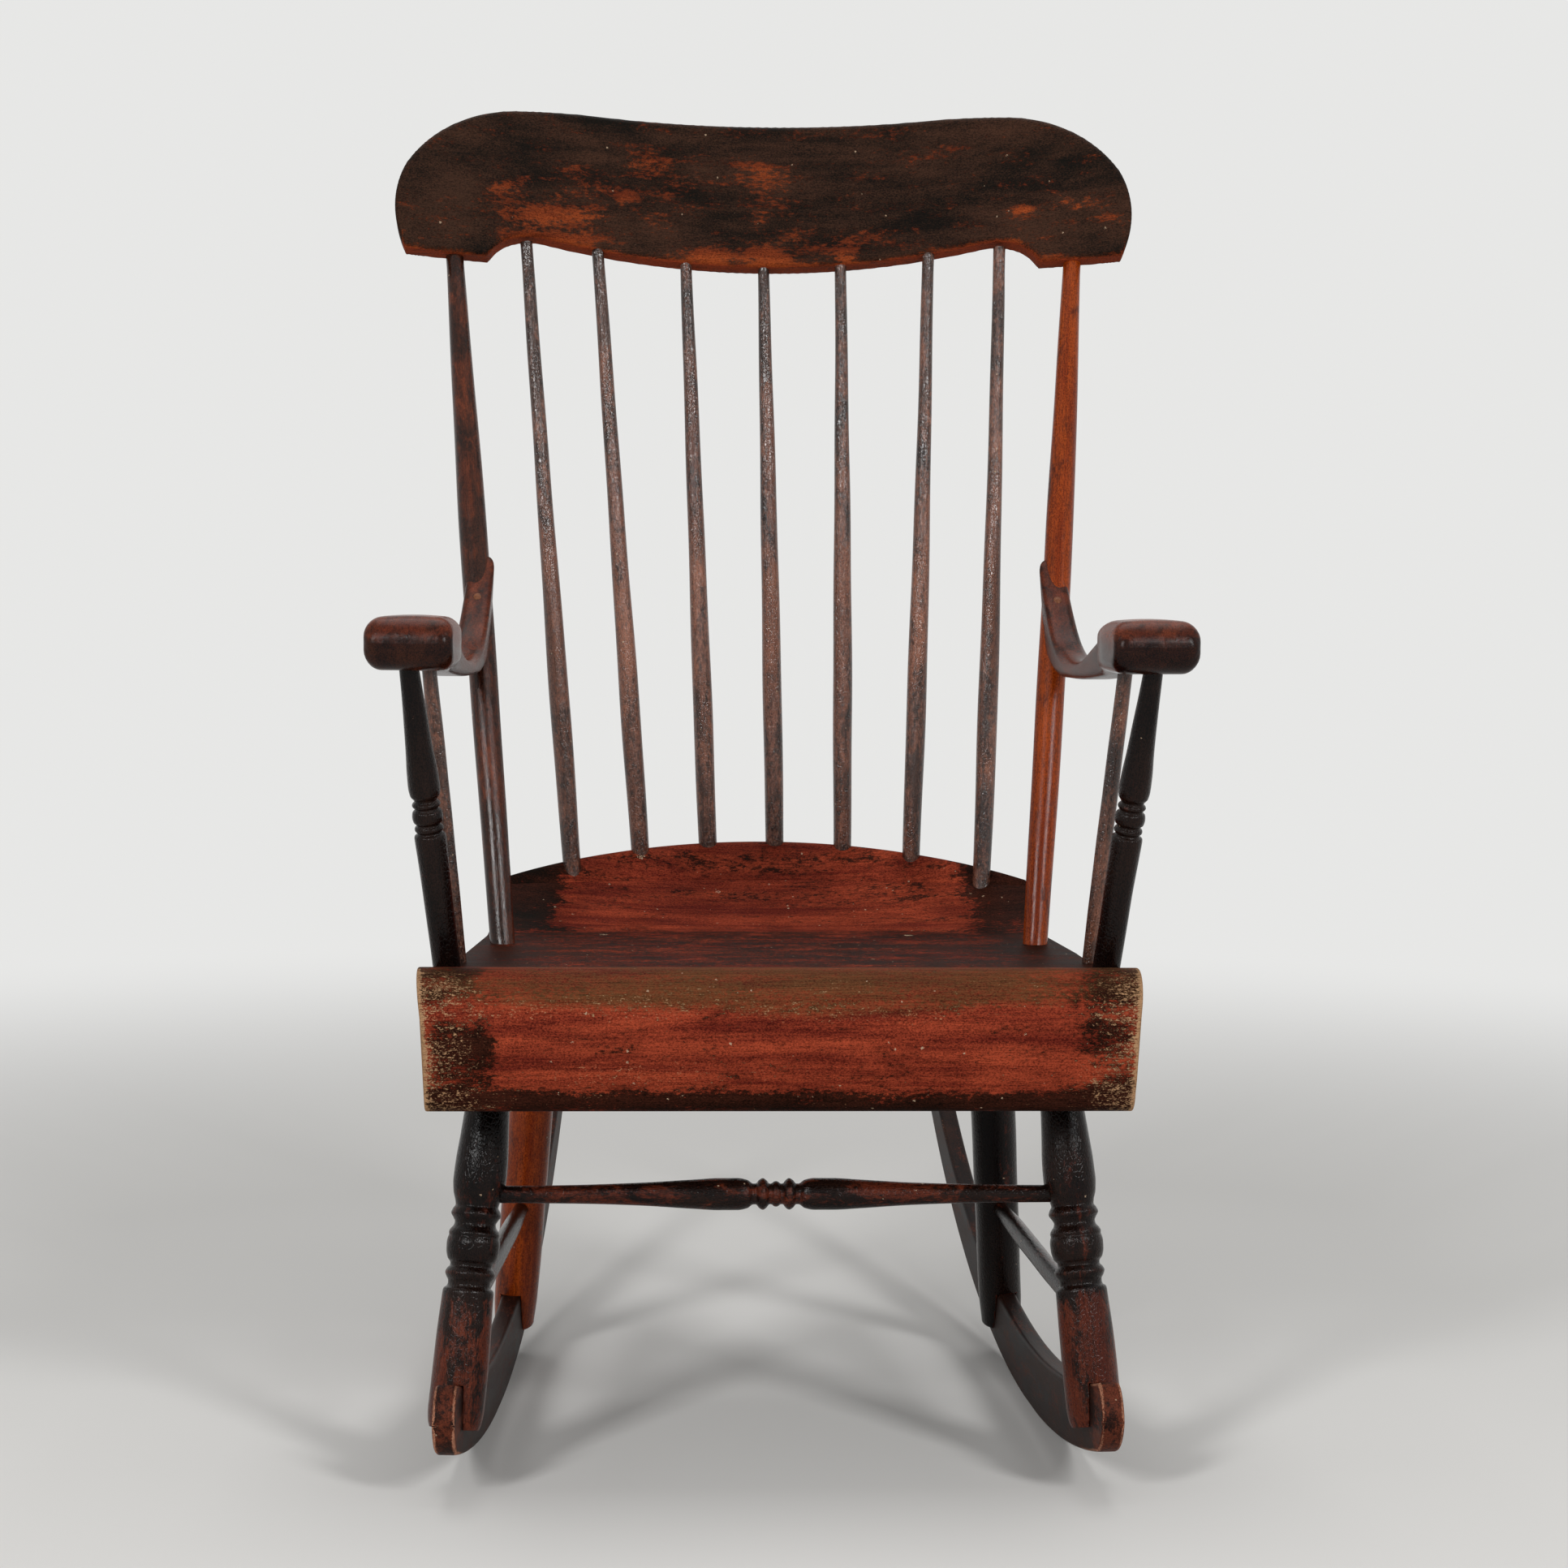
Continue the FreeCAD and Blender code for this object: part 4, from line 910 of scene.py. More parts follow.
@dataclass(frozen=True)
class Paint:
    """An old paint finish: a dark coat rubbed through to a red one, and in places to bare wood."""

    name: str
    slot: Slot
    under: tuple[Colour, Colour]
    over: tuple[Colour, Colour]
    bare: Colour
    tint: Colour = (0.10, 0.04, 0.02)
    roughness: float = 0.30
    breakup: float = 1.0
    fine: float = 1.0
    pore_depth: float = 0.35
    crackle_depth: float = 0.0
    crackle_scale: float = 350.0
    flecks: float = 0.03
    chips: float = 0.0
    crust: float = 0.0
    specular: float = 0.22
    relief: float = 0.0005

    def make(self, box: PaintBox) -> bpy.types.Material:
        """Build the material from the shared groups: coats, stain, bare wood, pores, specks and relief.

        Args:
            box: The groups.

        Returns:
            The finished material.
        """
        material = bpy.data.materials.new(self.name)
        material.use_nodes = True
        shader = material.node_tree.nodes["Principled BSDF"]
        w = Wiring(material.node_tree)
        place, tint = w.attribute("grain", "Vector"), w.attribute("tint")
        grain = w.group(box.grain, Vector=place)
        streak, pore, cloud = (grain.outputs[label] for label in ("Streak", "Pore", "Cloud"))
        rub = w.group(box.rub, Vector=place, Cover=w.attribute("cover"), Streak=streak,
                      Break=self.breakup, Fine=self.fine)
        paint, speckle, crumb = (rub.outputs[label] for label in ("Paint", "Speckle", "Crumb"))
        crust = w.swing(crumb, self.crust)
        figure = w.weighted((streak, 0.5), (cloud, 0.25), (speckle, 0.25))
        under = w.mix(w.spread(figure, 0.38, 0.62), *self.under)
        mottle = w.weighted((cloud, 0.45), (streak, 0.25), (speckle, 0.30))
        over = w.mix(w.spread(mottle, 0.40, 0.62), *self.over)
        colour = w.mix(paint, under, over)
        stain = w.spread(w.total(tint, w.swing(cloud, 1.5), crust), 0.25, 1.0)
        stain = w.maths("MULTIPLY", stain, w.spread(tint, 0.02, 0.25, 0.0, 0.85))
        colour = w.mix(stain, colour, self.tint)
        worn = w.total(w.attribute("bare"), w.swing(pore, 0.5), w.swing(cloud, 0.9), crust)
        worn = w.spread(worn, 0.42, 0.72)
        colour = w.mix(worn, colour, self.bare)
        pits = w.spread(w.weighted((pore, 0.5), (speckle, 0.5)), 0.36, 0.56, 0.48, 1.18)
        colour = w.mix(1.0, colour, pits, "MULTIPLY")
        for speck, amount in ((FLECK, self.flecks), (CHIP, self.chips)):
            if amount:
                dots = w.group(box.flecks, Vector=place, Scale=speck.scale, Amount=amount)
                share = w.maths("MULTIPLY", dots.outputs["Fleck"], speck.strength)
                colour = w.mix(share, colour, speck.colour)
        w.feed(shader.inputs["Base Color"], colour)
        matt = w.maths("MULTIPLY", w.maths("SUBTRACT", 1.0, paint), 0.06)
        gloss = w.total(self.roughness, w.swing(cloud, 0.22), w.maths("MULTIPLY", worn, 0.18))
        w.feed(shader.inputs["Roughness"], w.maths("ADD", gloss, matt, clamp=True))
        height = w.weighted((pore, self.pore_depth), (paint, 0.35), (streak, 0.8))
        if self.crackle_depth:
            cracks = w.group(box.crackle, Vector=place, Scale=self.crackle_scale)
            height = w.total(height, w.maths("MULTIPLY", cracks.outputs["Island"], self.crackle_depth))
        relief = w.add("Bump")
        relief.inputs["Strength"].default_value = 0.55
        relief.inputs["Distance"].default_value = self.relief
        w.feed(relief.inputs["Height"], height)
        w.feed(shader.inputs["Normal"], relief.outputs["Normal"])
        shader.inputs["Specular IOR Level"].default_value = self.specular
        return material


SEAT_PAINT = Paint(
    "worn_red_seat_paint", Slot.SEAT, under=((0.084, 0.010, 0.006), (0.310, 0.050, 0.021)),
    over=((0.004, 0.002, 0.001), (0.034, 0.009, 0.005)), bare=(0.33, 0.19, 0.10),
    tint=(0.082, 0.038, 0.014), roughness=0.52, breakup=1.2, fine=1.35, pore_depth=0.6, flecks=0.10,
    chips=0.03, crust=1.3, specular=0.02)
CREST_PAINT = Paint(
    "rubbed_crest_paint", Slot.CREST, under=((0.100, 0.018, 0.006), (0.260, 0.050, 0.012)),
    over=((0.004, 0.003, 0.002), (0.044, 0.019, 0.011)), bare=(0.22, 0.036, 0.012),
    tint=(0.036, 0.017, 0.010), roughness=0.50, breakup=1.1, pore_depth=0.8, flecks=0.05,
    chips=0.015, crust=0.8, specular=0.04)
LEG_PAINT = Paint(
    "black_leg_paint", Slot.TURNED, under=((0.055, 0.010, 0.005), (0.140, 0.028, 0.011)),
    over=((0.002, 0.001, 0.001), (0.014, 0.006, 0.004)), bare=(0.13, 0.034, 0.018),
    roughness=0.13, breakup=1.15, fine=0.65, pore_depth=0.5, crackle_depth=0.35, crackle_scale=420.0,
    flecks=0.04, specular=0.13)
# Spindle paint: the pale pinkish-brown under and over colours are partly the rubbed red coat and partly
# painted highlight, which lightens the sticks' average tone.
SPINDLE_PAINT_AND_HIGHLIGHT = Paint(
    "crazed_spindle_paint_and_highlight", Slot.SPINDLE, under=((0.100, 0.034, 0.019), (0.290, 0.115, 0.068)),
    over=((0.010, 0.005, 0.004), (0.066, 0.029, 0.019)), bare=(0.30, 0.14, 0.09),
    roughness=0.10, breakup=0.9, pore_depth=0.5, crackle_depth=0.5, crackle_scale=520.0,
    flecks=0.08, specular=0.50)
POST_VARNISH = Paint(
    "orange_post_varnish", Slot.VARNISH, under=((0.140, 0.017, 0.002), (0.320, 0.055, 0.007)),
    over=((0.030, 0.005, 0.002), (0.085, 0.013, 0.003)), bare=(0.46, 0.17, 0.05),
    roughness=0.16, breakup=1.1, fine=0.6, flecks=0.02, specular=0.16)
DARK_VARNISH = Paint(
    "dark_post_varnish", Slot.SPINDLE, under=((0.060, 0.013, 0.005), (0.160, 0.034, 0.011)),
    over=((0.008, 0.003, 0.002), (0.040, 0.012, 0.006)), bare=(0.30, 0.13, 0.07),
    roughness=0.15, breakup=0.8, fine=0.6, specular=0.24)
ARM_PAINT = Paint(
    "polished_arm_paint", Slot.ARM, under=((0.075, 0.014, 0.006), (0.165, 0.034, 0.012)),
    over=((0.006, 0.002, 0.002), (0.034, 0.010, 0.005)), bare=(0.26, 0.10, 0.06),
    roughness=0.20, breakup=0.60, fine=0.5, pore_depth=0.3, flecks=0.02, specular=0.12)
ROCKER_PAINT = Paint(
    "scuffed_rocker_paint", Slot.ROCKER, under=((0.080, 0.020, 0.010), (0.150, 0.034, 0.016)),
    over=((0.004, 0.002, 0.002), (0.028, 0.010, 0.006)), bare=(0.34, 0.15, 0.09),
    roughness=0.44, pore_depth=0.6, flecks=0.04, crust=0.5, specular=0.07)
PEG_WOOD = Paint(
    "worn_peg_wood", Slot.PEG, under=((0.120, 0.040, 0.016), (0.240, 0.085, 0.034)),
    over=((0.012, 0.006, 0.004), (0.040, 0.016, 0.010)), bare=(0.40, 0.22, 0.12),
    roughness=0.40, specular=0.2)
PAINTS = (SEAT_PAINT, CREST_PAINT, LEG_PAINT, SPINDLE_PAINT_AND_HIGHLIGHT, POST_VARNISH, DARK_VARNISH, ARM_PAINT,
          ROCKER_PAINT, PEG_WOOD)


class Workshop:
    """Mixes the paints once and dresses every piece with them."""

    def __init__(self) -> None:
        """Mix each paint."""
        box = PaintBox()
        self.mixed = {paint: paint.make(box) for paint in PAINTS}

    def dress(self, thing: bpy.types.Object, paint: Paint, node: str) -> None:
        """Paint a piece, let it stand for its node on the chair's one body, and report it.

        Args:
            thing: The piece.
            paint: Its finish, which names the record's slot.
            node: The solid that the piece replaces.
        """
        thing.data.materials.clear()
        thing.data.materials.append(self.mixed[paint])
        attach(thing, "root")
        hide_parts(node)
        log.info("%s: %d points, stands for %s", thing.name, len(thing.data.vertices), node)

    def turn(self, stick: Stick, paint: Paint, node: str) -> None:
        """Turn a stick and dress it."""
        self.dress(stick.skin().make(), paint, node)


# Rockers


@dataclass(frozen=True)
class Rocker:
    """A long curved runner, sawn from a board, with its edges eased."""

    side: Side
    length: float = LAYOUT.rocker_length
    radius: float = 865.0
    thickness: float = 16.0
    heights: tuple[float, float, float] = (50.0, 46.0, 34.0)
    ends: tuple[float, float] = (16.0, 12.0)
    rest: float = 258.0
    wear: float = 0.4
    edge: float = 3.2

    def sole(self, reach: Array) -> Array:
        """Height of the running edge: a circle's low side, cut flat where it is below the floor."""
        arc = self.radius - self.wear - np.sqrt(self.radius ** 2 - (reach - self.rest) ** 2)
        return np.maximum(arc, 0.0)

    def edges(self, reach: Array) -> Line:
        """Heights of the lower and upper edge at distances behind the nose.

        Args:
            reach: Distances behind the nose.

        Returns:
            The lower and the upper heights.
        """
        nose, tail = self.ends
        tail_start = self.length - tail
        run = np.linspace(nose, tail_start, 400)
        low = self.sole(run)
        nose_low, tail_low = float(low[0]), float(low[-1])
        nose_high, tail_high = nose_low + self.heights[0], tail_low + self.heights[2]
        nose_mid, tail_mid = (nose_low + nose_high) / 2, (tail_low + tail_high) / 2
        nose_arc = arc_points((nose, nose_low), (0, nose_mid), (nose, nose_high), 81)
        tail_arc = arc_points((tail_start, tail_low), (self.length, tail_mid), (tail_start, tail_high), 81)
        top = arc_points((nose, nose_high), (self.rest, self.heights[1]), (tail_start, tail_high), 200)
        lower = np.concatenate([nose_arc[:41], np.stack([run, low], 1), tail_arc[:41]])
        upper = np.concatenate([nose_arc[40:], top, tail_arc[40:]])
        return by_place(lower, reach), by_place(upper, reach)

    def skin(self, name: str, edge: float, extra: float = 0.0, swell: float = 0.0) -> Skin:
        """Carry a rounded rectangle along the runner, as high at each reach as its two edges are apart.

        Args:
            name: Name of the piece.
            edge: Radius of the section's corners.
            extra: How much deeper the section goes below.
            swell: How much thicker it is on each side.

        Returns:
            The skin in the chair's place, with pale wear on its corners.
        """
        turn = 0.5 - 0.5 * np.cos(np.linspace(0.012, math.pi - 0.012, 90))
        middle = np.linspace(0.035, 0.965, 170)
        share = np.unique(np.concatenate([turn[turn < 0.03], middle, turn[turn > 0.97]]))
        reach = share * self.length
        low, high = self.edges(reach)
        low = low - extra
        half = self.thickness / 2 + swell
        across, up, corner = rounded_section(np.full_like(reach, half), (high - low) / 2,
                                             np.full_like(reach, edge), 6, (5, 9))
        height = up + ((low + high) / 2)[:, None]
        nose = LAYOUT.place(LAYOUT.rocker_nose_half_gap, -LAYOUT.rocker_nose_reach, 0.0, self.side.value)
        along = reach[:, None] + np.zeros_like(across)
        grid = laid(nose, self.side.value * LAYOUT.rocker_toe, across, along, height)
        grain = np.stack([along + 300.0 * self.side.value, across, height], axis=-1)
        ends = ramp(-along, -70.0, 0.0) + ramp(along, self.length - 60.0, self.length)
        bare = corner * (0.34 + 0.35 * ends)
        return Skin(name, grid, grain, 0.74 - 0.25 * ends, bare, np.zeros_like(across))

    def build(self, shop: Workshop) -> None:
        """Build and dress the runner."""
        word = self.side.word
        shop.dress(self.skin(f"runner_{word}", self.edge).make(), ROCKER_PAINT, f"rocker_{word}")

    def slot(self, leg: bpy.types.Object) -> None:
        """Cut the slot in which a leg stands over the rocker: sharp, a little wider and much deeper."""
        carve(leg, self.skin(f"slot_cutter_{self.side.word}", 0.2, extra=60.0, swell=0.35).make())


def rounded_section(half_width: Array, half_height: Array, radius: Array, corner: int,
                    sides: tuple[int, int]) -> tuple[Array, Array, Array]:
    """Rounded rectangles, one for each row: corner centres plus a quarter turn of the radius.

    Args:
        half_width: Half widths.
        half_height: Half heights.
        radius: Corner radii, held within the smaller half size.
        corner: Steps in each quarter turn.
        sides: Steps along the upper and lower sides, and along the upright ones.

    Returns:
        Offsets across, offsets up, and how near the middle of a corner each column lies.
    """
    radius = np.minimum(radius, 0.98 * np.minimum(half_width, half_height))
    signs = ((1, -1), (1, 1), (-1, 1), (-1, -1))
    runs = []
    for number, (sx, sz) in enumerate(signs):
        start = -math.pi / 2 + number * math.pi / 2
        end = start + math.pi / 2
        turn = np.linspace(start, end, corner + 1)
        one = np.ones_like(turn)
        middle = np.sin(np.linspace(0.25, math.pi - 0.25, corner + 1))
        runs.append([sx * one, sz * one, np.cos(turn), np.sin(turn), middle])
        nx, nz = signs[(number + 1) % 4]
        share = shares(sides[1 - number % 2] + 2)[:-1]
        one = np.ones_like(share)
        runs.append([sx + (nx - sx) * share, sz + (nz - sz) * share, math.cos(end) * one,
                     math.sin(end) * one, 0 * one])
    px, pz, dx, dz, near = np.concatenate(runs, axis=1)[:, None, :]
    r = radius[:, None]
    across = px * (half_width[:, None] - r) + dx * r
    up = pz * (half_height[:, None] - r) + dz * r
    return across, up, near + np.zeros_like(across)


# Seat


@dataclass(frozen=True)
class Seat:
    """The plank with its dish and ramp, the rear roll above it and the deep front roll."""

    columns: int = 127
    front_half_width: float = 258.0
    waist_half_width: float = 232.0
    rear_half_width: float = 211.0
    waist: tuple[float, float] = (26.0, 150.0)
    rear_radius: float = 330.0
    depth: float = 420.0
    dish_start: float = 70.0
    belly_start: float = 322.0
    belly_rise: float = 30.0
    ramp_radius: float = 605.0
    ramp_setback: float = 290.0
    seam_radius: float = LAYOUT.seam_radius
    back_radius: float = 735.0
    back_rise: float = 51.0
    roll_joint: float = 30.0
    roll_reach: float = 24.0
    roll_depth: float = 97.0
    lip_share: float = 1.1
    taper: float = math.tan(math.radians(8.0))
    roll_taper: float = 0.015
    right_blots: tuple[tuple[float, ...], ...] = (
        (226.0, 22.0, 330.0, 15.0, 0.85), (236.0, 26.0, 288.0, 16.0, 1.1), (232.0, 30.0, 357.0, 9.0, 0.5))

    def half_width(self, setback: Array, height: Array) -> Array:
        """Half width of the seat: its plan at the seam's height, drawn in below by the sides' taper.

        Args:
            setback: Setbacks from the seat's front crest.
            height: Heights.

        Returns:
            The half widths.
        """
        front, rear, (start, end) = self.front_half_width, self.rear_half_width, self.waist
        waist = arc_points((front, start), (239.02, start + (end - start) * 0.52),
                           (self.waist_half_width, end), 60)
        corner = self.depth - self.rear_radius + math.sqrt(self.rear_radius ** 2 - rear ** 2)
        plan = np.concatenate([[[-60.0, front]], waist[:, ::-1], [[corner, rear], [500.0, rear]]])
        width = np.interp(setback, plan[:, 0], plan[:, 1])
        drop = np.clip(LAYOUT.seam - height, 0.0, LAYOUT.seam - LAYOUT.underside)
        below = np.clip(LAYOUT.underside - height, 0.0, 120.0)
        return width - drop * self.taper - below * self.roll_taper

    @property
    def lip(self) -> float:
        """Height at which the front roll meets the plank's top."""
        return LAYOUT.dish + LAYOUT.dish_depth * self.lip_share

    def on_curve(self, radius: Array, x: Array) -> Array:
        """Setback at which the ramp's curve of a radius passes a distance from the middle."""
        return np.sqrt(radius ** 2 - x ** 2) + self.ramp_setback - self.ramp_radius

    def rear_edge(self, x: Array) -> Array:
        """Setback of the seat's curved rear edge."""
        return self.depth - self.rear_radius + np.sqrt(np.maximum(self.rear_radius ** 2 - x ** 2, 1.0))

    def belly(self, setback: Array) -> Array:
        """Height of the plank's underside, which curves up towards the rear edge."""
        share = np.clip((setback - self.belly_start) / (self.depth - self.belly_start), 0, 1)
        return LAYOUT.underside + self.belly_rise * share ** 1.6

    def plank_loop(self, x: Array) -> Line:
        """Side view of the plank at each X: joint, dish, ramp, flat below the roll, edge and underside.

        Args:
            x: Places from the chair's middle to the sitter's left.

        Returns:
            The setbacks and the heights, a row for each X.
        """
        dish, seam, under, start = LAYOUT.dish, LAYOUT.seam, LAYOUT.underside, self.dish_start
        front = arc_points((self.roll_joint, self.lip), (48.0, dish + 3.4), (start, dish + 0.5), 12)
        ramp_arc = arc_points((self.ramp_radius, dish), (645.5, dish + (seam - dish) * 0.34),
                              (self.seam_radius, seam), 26)
        ramp_foot, seam_back = self.on_curve(self.ramp_radius, x), self.on_curve(self.seam_radius, x)
        rear = np.maximum(self.rear_edge(x), seam_back + 0.5)
        back = rear + (self.roll_joint - rear) * shares(40)
        return joined(
            x, (front[:, 0], front[:, 1]),
            (start + (ramp_foot - start) * shares(62)[:-1], dish),
            (self.on_curve(ramp_arc[:, 0], x), ramp_arc[:, 1]),
            (seam_back + (rear - seam_back) * shares(7), seam),
            (rear, seam + (self.belly(rear) - seam) * shares(10)),
            (back, self.belly(back)),
            (self.roll_joint, under + (self.lip - under) * shares(9)[:-1]))

    def rear_roll_loop(self, x: Array) -> Line:
        """Side view of the rear roll at each X: a slope that levels off, a quarter turn over, then down.

        Args:
            x: Places from the chair's middle to the sitter's left.

        Returns:
            The setbacks and the heights, a row for each X.
        """
        seam = LAYOUT.seam
        slope = (LAYOUT.seat_height + self.back_rise - seam) / (self.back_radius - self.seam_radius)
        seam_back = self.on_curve(self.seam_radius, x)
        rear = np.maximum(self.rear_edge(x), seam_back + 1.0)
        width = rear - seam_back
        rise = slope * (np.hypot(rear - self.ramp_setback + self.ramp_radius, x) - self.seam_radius)
        peak = np.clip(1 - 15.0 / width, 0.6, 1.0)
        climb = np.linspace(0, 1, 26)
        front = seam_back + width * peak * climb
        front_height = seam + (rise + 1.5 * peak) * (climb - climb ** 6 / 6) * 1.2
        turn = np.sin(np.linspace(0, math.pi / 2, 11)[1:])
        over = seam_back + width * (peak + (1 - peak) * turn)
        fall = np.minimum(9.0, 0.45 * rise) * (1 - np.sqrt(1 - np.minimum(turn, 1.0) ** 2))
        over_height = front_height[:, -1:] - fall
        down = over_height[:, -1:] + (seam - over_height[:, -1:]) * shares(8)
        return joined(x, (front, front_height), (over, over_height), (rear, down),
                      (rear - width * shares(8)[:-1], seam))

    def front_roll_loop(self, x: Array) -> Line:
        """Side view of the front roll: over the crest, down the bulging face and round the foot.

        Args:
            x: Places from the chair's middle to the sitter's left.

        Returns:
            The setbacks and the heights, a row for each X.
        """
        top = LAYOUT.seat_height
        bottom = top - self.roll_depth
        outline = path_points((self.roll_joint, self.lip), [
            (self.roll_joint * 0.25, top - 0.8, -self.roll_reach * 0.62, top - self.roll_depth * 0.16),
            (-self.roll_reach, top - self.roll_depth * 0.50,
             -self.roll_reach * 0.66, bottom + self.roll_depth * 0.16),
            (1.8, bottom, 12.0, bottom + self.roll_depth * 0.05),
            (self.roll_joint, LAYOUT.underside),
            (self.roll_joint, self.lip),
        ])[:-1]
        step = travel(outline)
        at = np.linspace(0, step[-1], 110)
        setback = blur(np.interp(at, step, outline[:, 0]), 1)
        height = blur(np.interp(at, step, outline[:, 1]), 1)
        return setback + 0 * x, height + 0 * x

    def skin(self, name: str, loop: Callable[[Array], Line], seed: float) -> Skin:
        """Carry a side-view loop across the seat, each point at its share of the half width.

        The half width depends on a point's setback and height, and they on its X, so all three are
        worked out in rounds: in each, a point is read from the loop that belongs to its own X.

        Args:
            name: Name of the piece.
            loop: The method that gives setbacks and heights for a column of X.
            seed: Moves the grain.

        Returns:
            The skin with its masks.
        """
        share = np.linspace(-1, 1, self.columns)[:, None]
        setback, height = loop(share * self.rear_half_width)
        count = setback.shape[1]
        for _ in range(6):
            x = share * self.half_width(setback, height)
            setback, height = (np.einsum("ikk->ik", value.reshape(self.columns, count, count))
                               for value in loop(x.reshape(-1, 1)))
        x = share * self.half_width(setback, height)
        grid = np.stack([x, LAYOUT.front_y + setback, height], axis=-1)
        grain = np.stack([x + 90.0 * seed, setback, height], axis=-1)
        return Skin(name, grid, grain, self.cover(x, setback, height), self.wear(x, setback, height),
                    self.stain(x, setback, height), Cap.FACE)

    def build(self, shop: Workshop) -> None:
        """Build and dress the three pieces, each with its own seed and width of eased edges.

        Args:
            shop: The workshop with its paints.
        """
        for name, loop, seed, eased, node in (
                ("dished_plank", self.plank_loop, 0.0, 1.6, "seat_plank"),
                ("rear_roll", self.rear_roll_loop, 1.7, 1.6, "seat_rear_roll"),
                ("front_roll", self.front_roll_loop, 0.4, 3.0, "seat_front_roll")):
            thing = self.skin(name, loop, seed).make()
            bevel_edges(thing, eased)
            shop.dress(thing, SEAT_PAINT, node)

    def cover(self, x: Array, setback: Array, height: Array) -> Array:
        """Dark paint left: patches at the roll's two ends, the rear corners, the dish and underneath; along
        the front roll's foot, where the face turns under, it is painted shade.

        Args:
            x: Places from the chair's middle to the sitter's left.
            setback: Setbacks from the seat's front crest.
            height: Heights.

        Returns:
            The mask, from nought to about one.
        """
        gap = np.abs(x)
        face = ramp(-setback, -40.0, -8.0)
        left_end = band(-x, 193.0, 205.0, 234.0, 253.0) * band(height, 289.0, 312.0, 332.0, 356.0)
        left_end = left_end + 0.45 * ramp(-x, 190.0, 240.0) * ramp(-height, -312.0, -290.0)
        right_end = blots(x, height, self.right_blots)
        # Painted shade: dark along the front roll's foot, where its face turns under, away from the light.
        foot = ramp(-height, -300.0, -282.0)
        roll = (0.62 * left_end + 0.70 * right_end + 0.70 * foot) * face
        tops = ramp(gap, 196.0, 226.0) * ramp(height, 350.0, 362.0) * ramp(-setback, -110.0, -30.0)
        corners = ramp(gap, 150.0, 180.0) * ramp(setback, 262.0, 300.0)
        dish = band(setback, 26.0, 70.0, 262.0, 296.0)
        sides = ramp(gap, 150.0, 205.0) * band(setback, 40.0, 90.0, 200.0, 300.0)
        under = ramp(-height, -352.0, -332.0) * ramp(setback, -2.0, 30.0)
        rear = ramp(setback, 398.0, 412.0) * ramp(-height, -410.0, -392.0)
        slope = ramp(setback, 310.0, 350.0)
        return (0.17 + roll + 0.50 * tops + 0.75 * corners + 0.44 * dish + 0.22 * sides + under
                + 0.5 * rear + 0.14 * slope)

    def wear(self, x: Array, setback: Array, height: Array) -> Array:
        """Bare wood: the side edges, most at the roll's ends, and faintly over its crest and low down.

        Args:
            x: Places from the chair's middle to the sitter's left.
            setback: Setbacks from the seat's front crest.
            height: Heights.

        Returns:
            The mask, from nought to about one.
        """
        edge = self.half_width(setback, height) - np.abs(x)
        roll = ramp(-setback, -30.0, -4.0)
        rim = np.exp(-edge / 2.5) * (0.40 - 0.20 * ramp(setback, 22.0, 50.0))
        ends = 0.40 * np.exp(-edge / 9.0) * roll
        crusty = 0.26 * ramp(-edge, -62.0, -14.0) * roll
        crest = 0.15 * bump_at(height, 352.0, 14.0) * ramp(-setback, -46.0, -18.0)
        middle = 0.17 * bump_at(x, 25.0, 85.0) * bump_at(height, 347.0, 11.0) * roll
        low = 0.16 * bump_at(height, 303.0, 16.0) * roll * ramp(-np.abs(x + 60.0), -190.0, -60.0)
        return rim + np.maximum(ends, crusty) + crest + middle + low + 0.07 * roll

    def stain(self, x: Array, setback: Array, height: Array) -> Array:
        """Worn olive band over the front crest, widest in the middle.

        Args:
            x: Places from the chair's middle to the sitter's left.
            setback: Setbacks from the seat's front crest.
            height: Heights.

        Returns:
            The mask, from nought to about one.
        """
        lower = 344.0 - 9.0 * bump_at(x, 25.0, 85.0)
        worn = ramp(height - lower, 0.0, 15.0) * ramp(-setback, -62.0, -22.0)
        return 0.80 * worn * (1 - 0.35 * ramp(np.abs(x), 150.0, 230.0))


# Crest rail


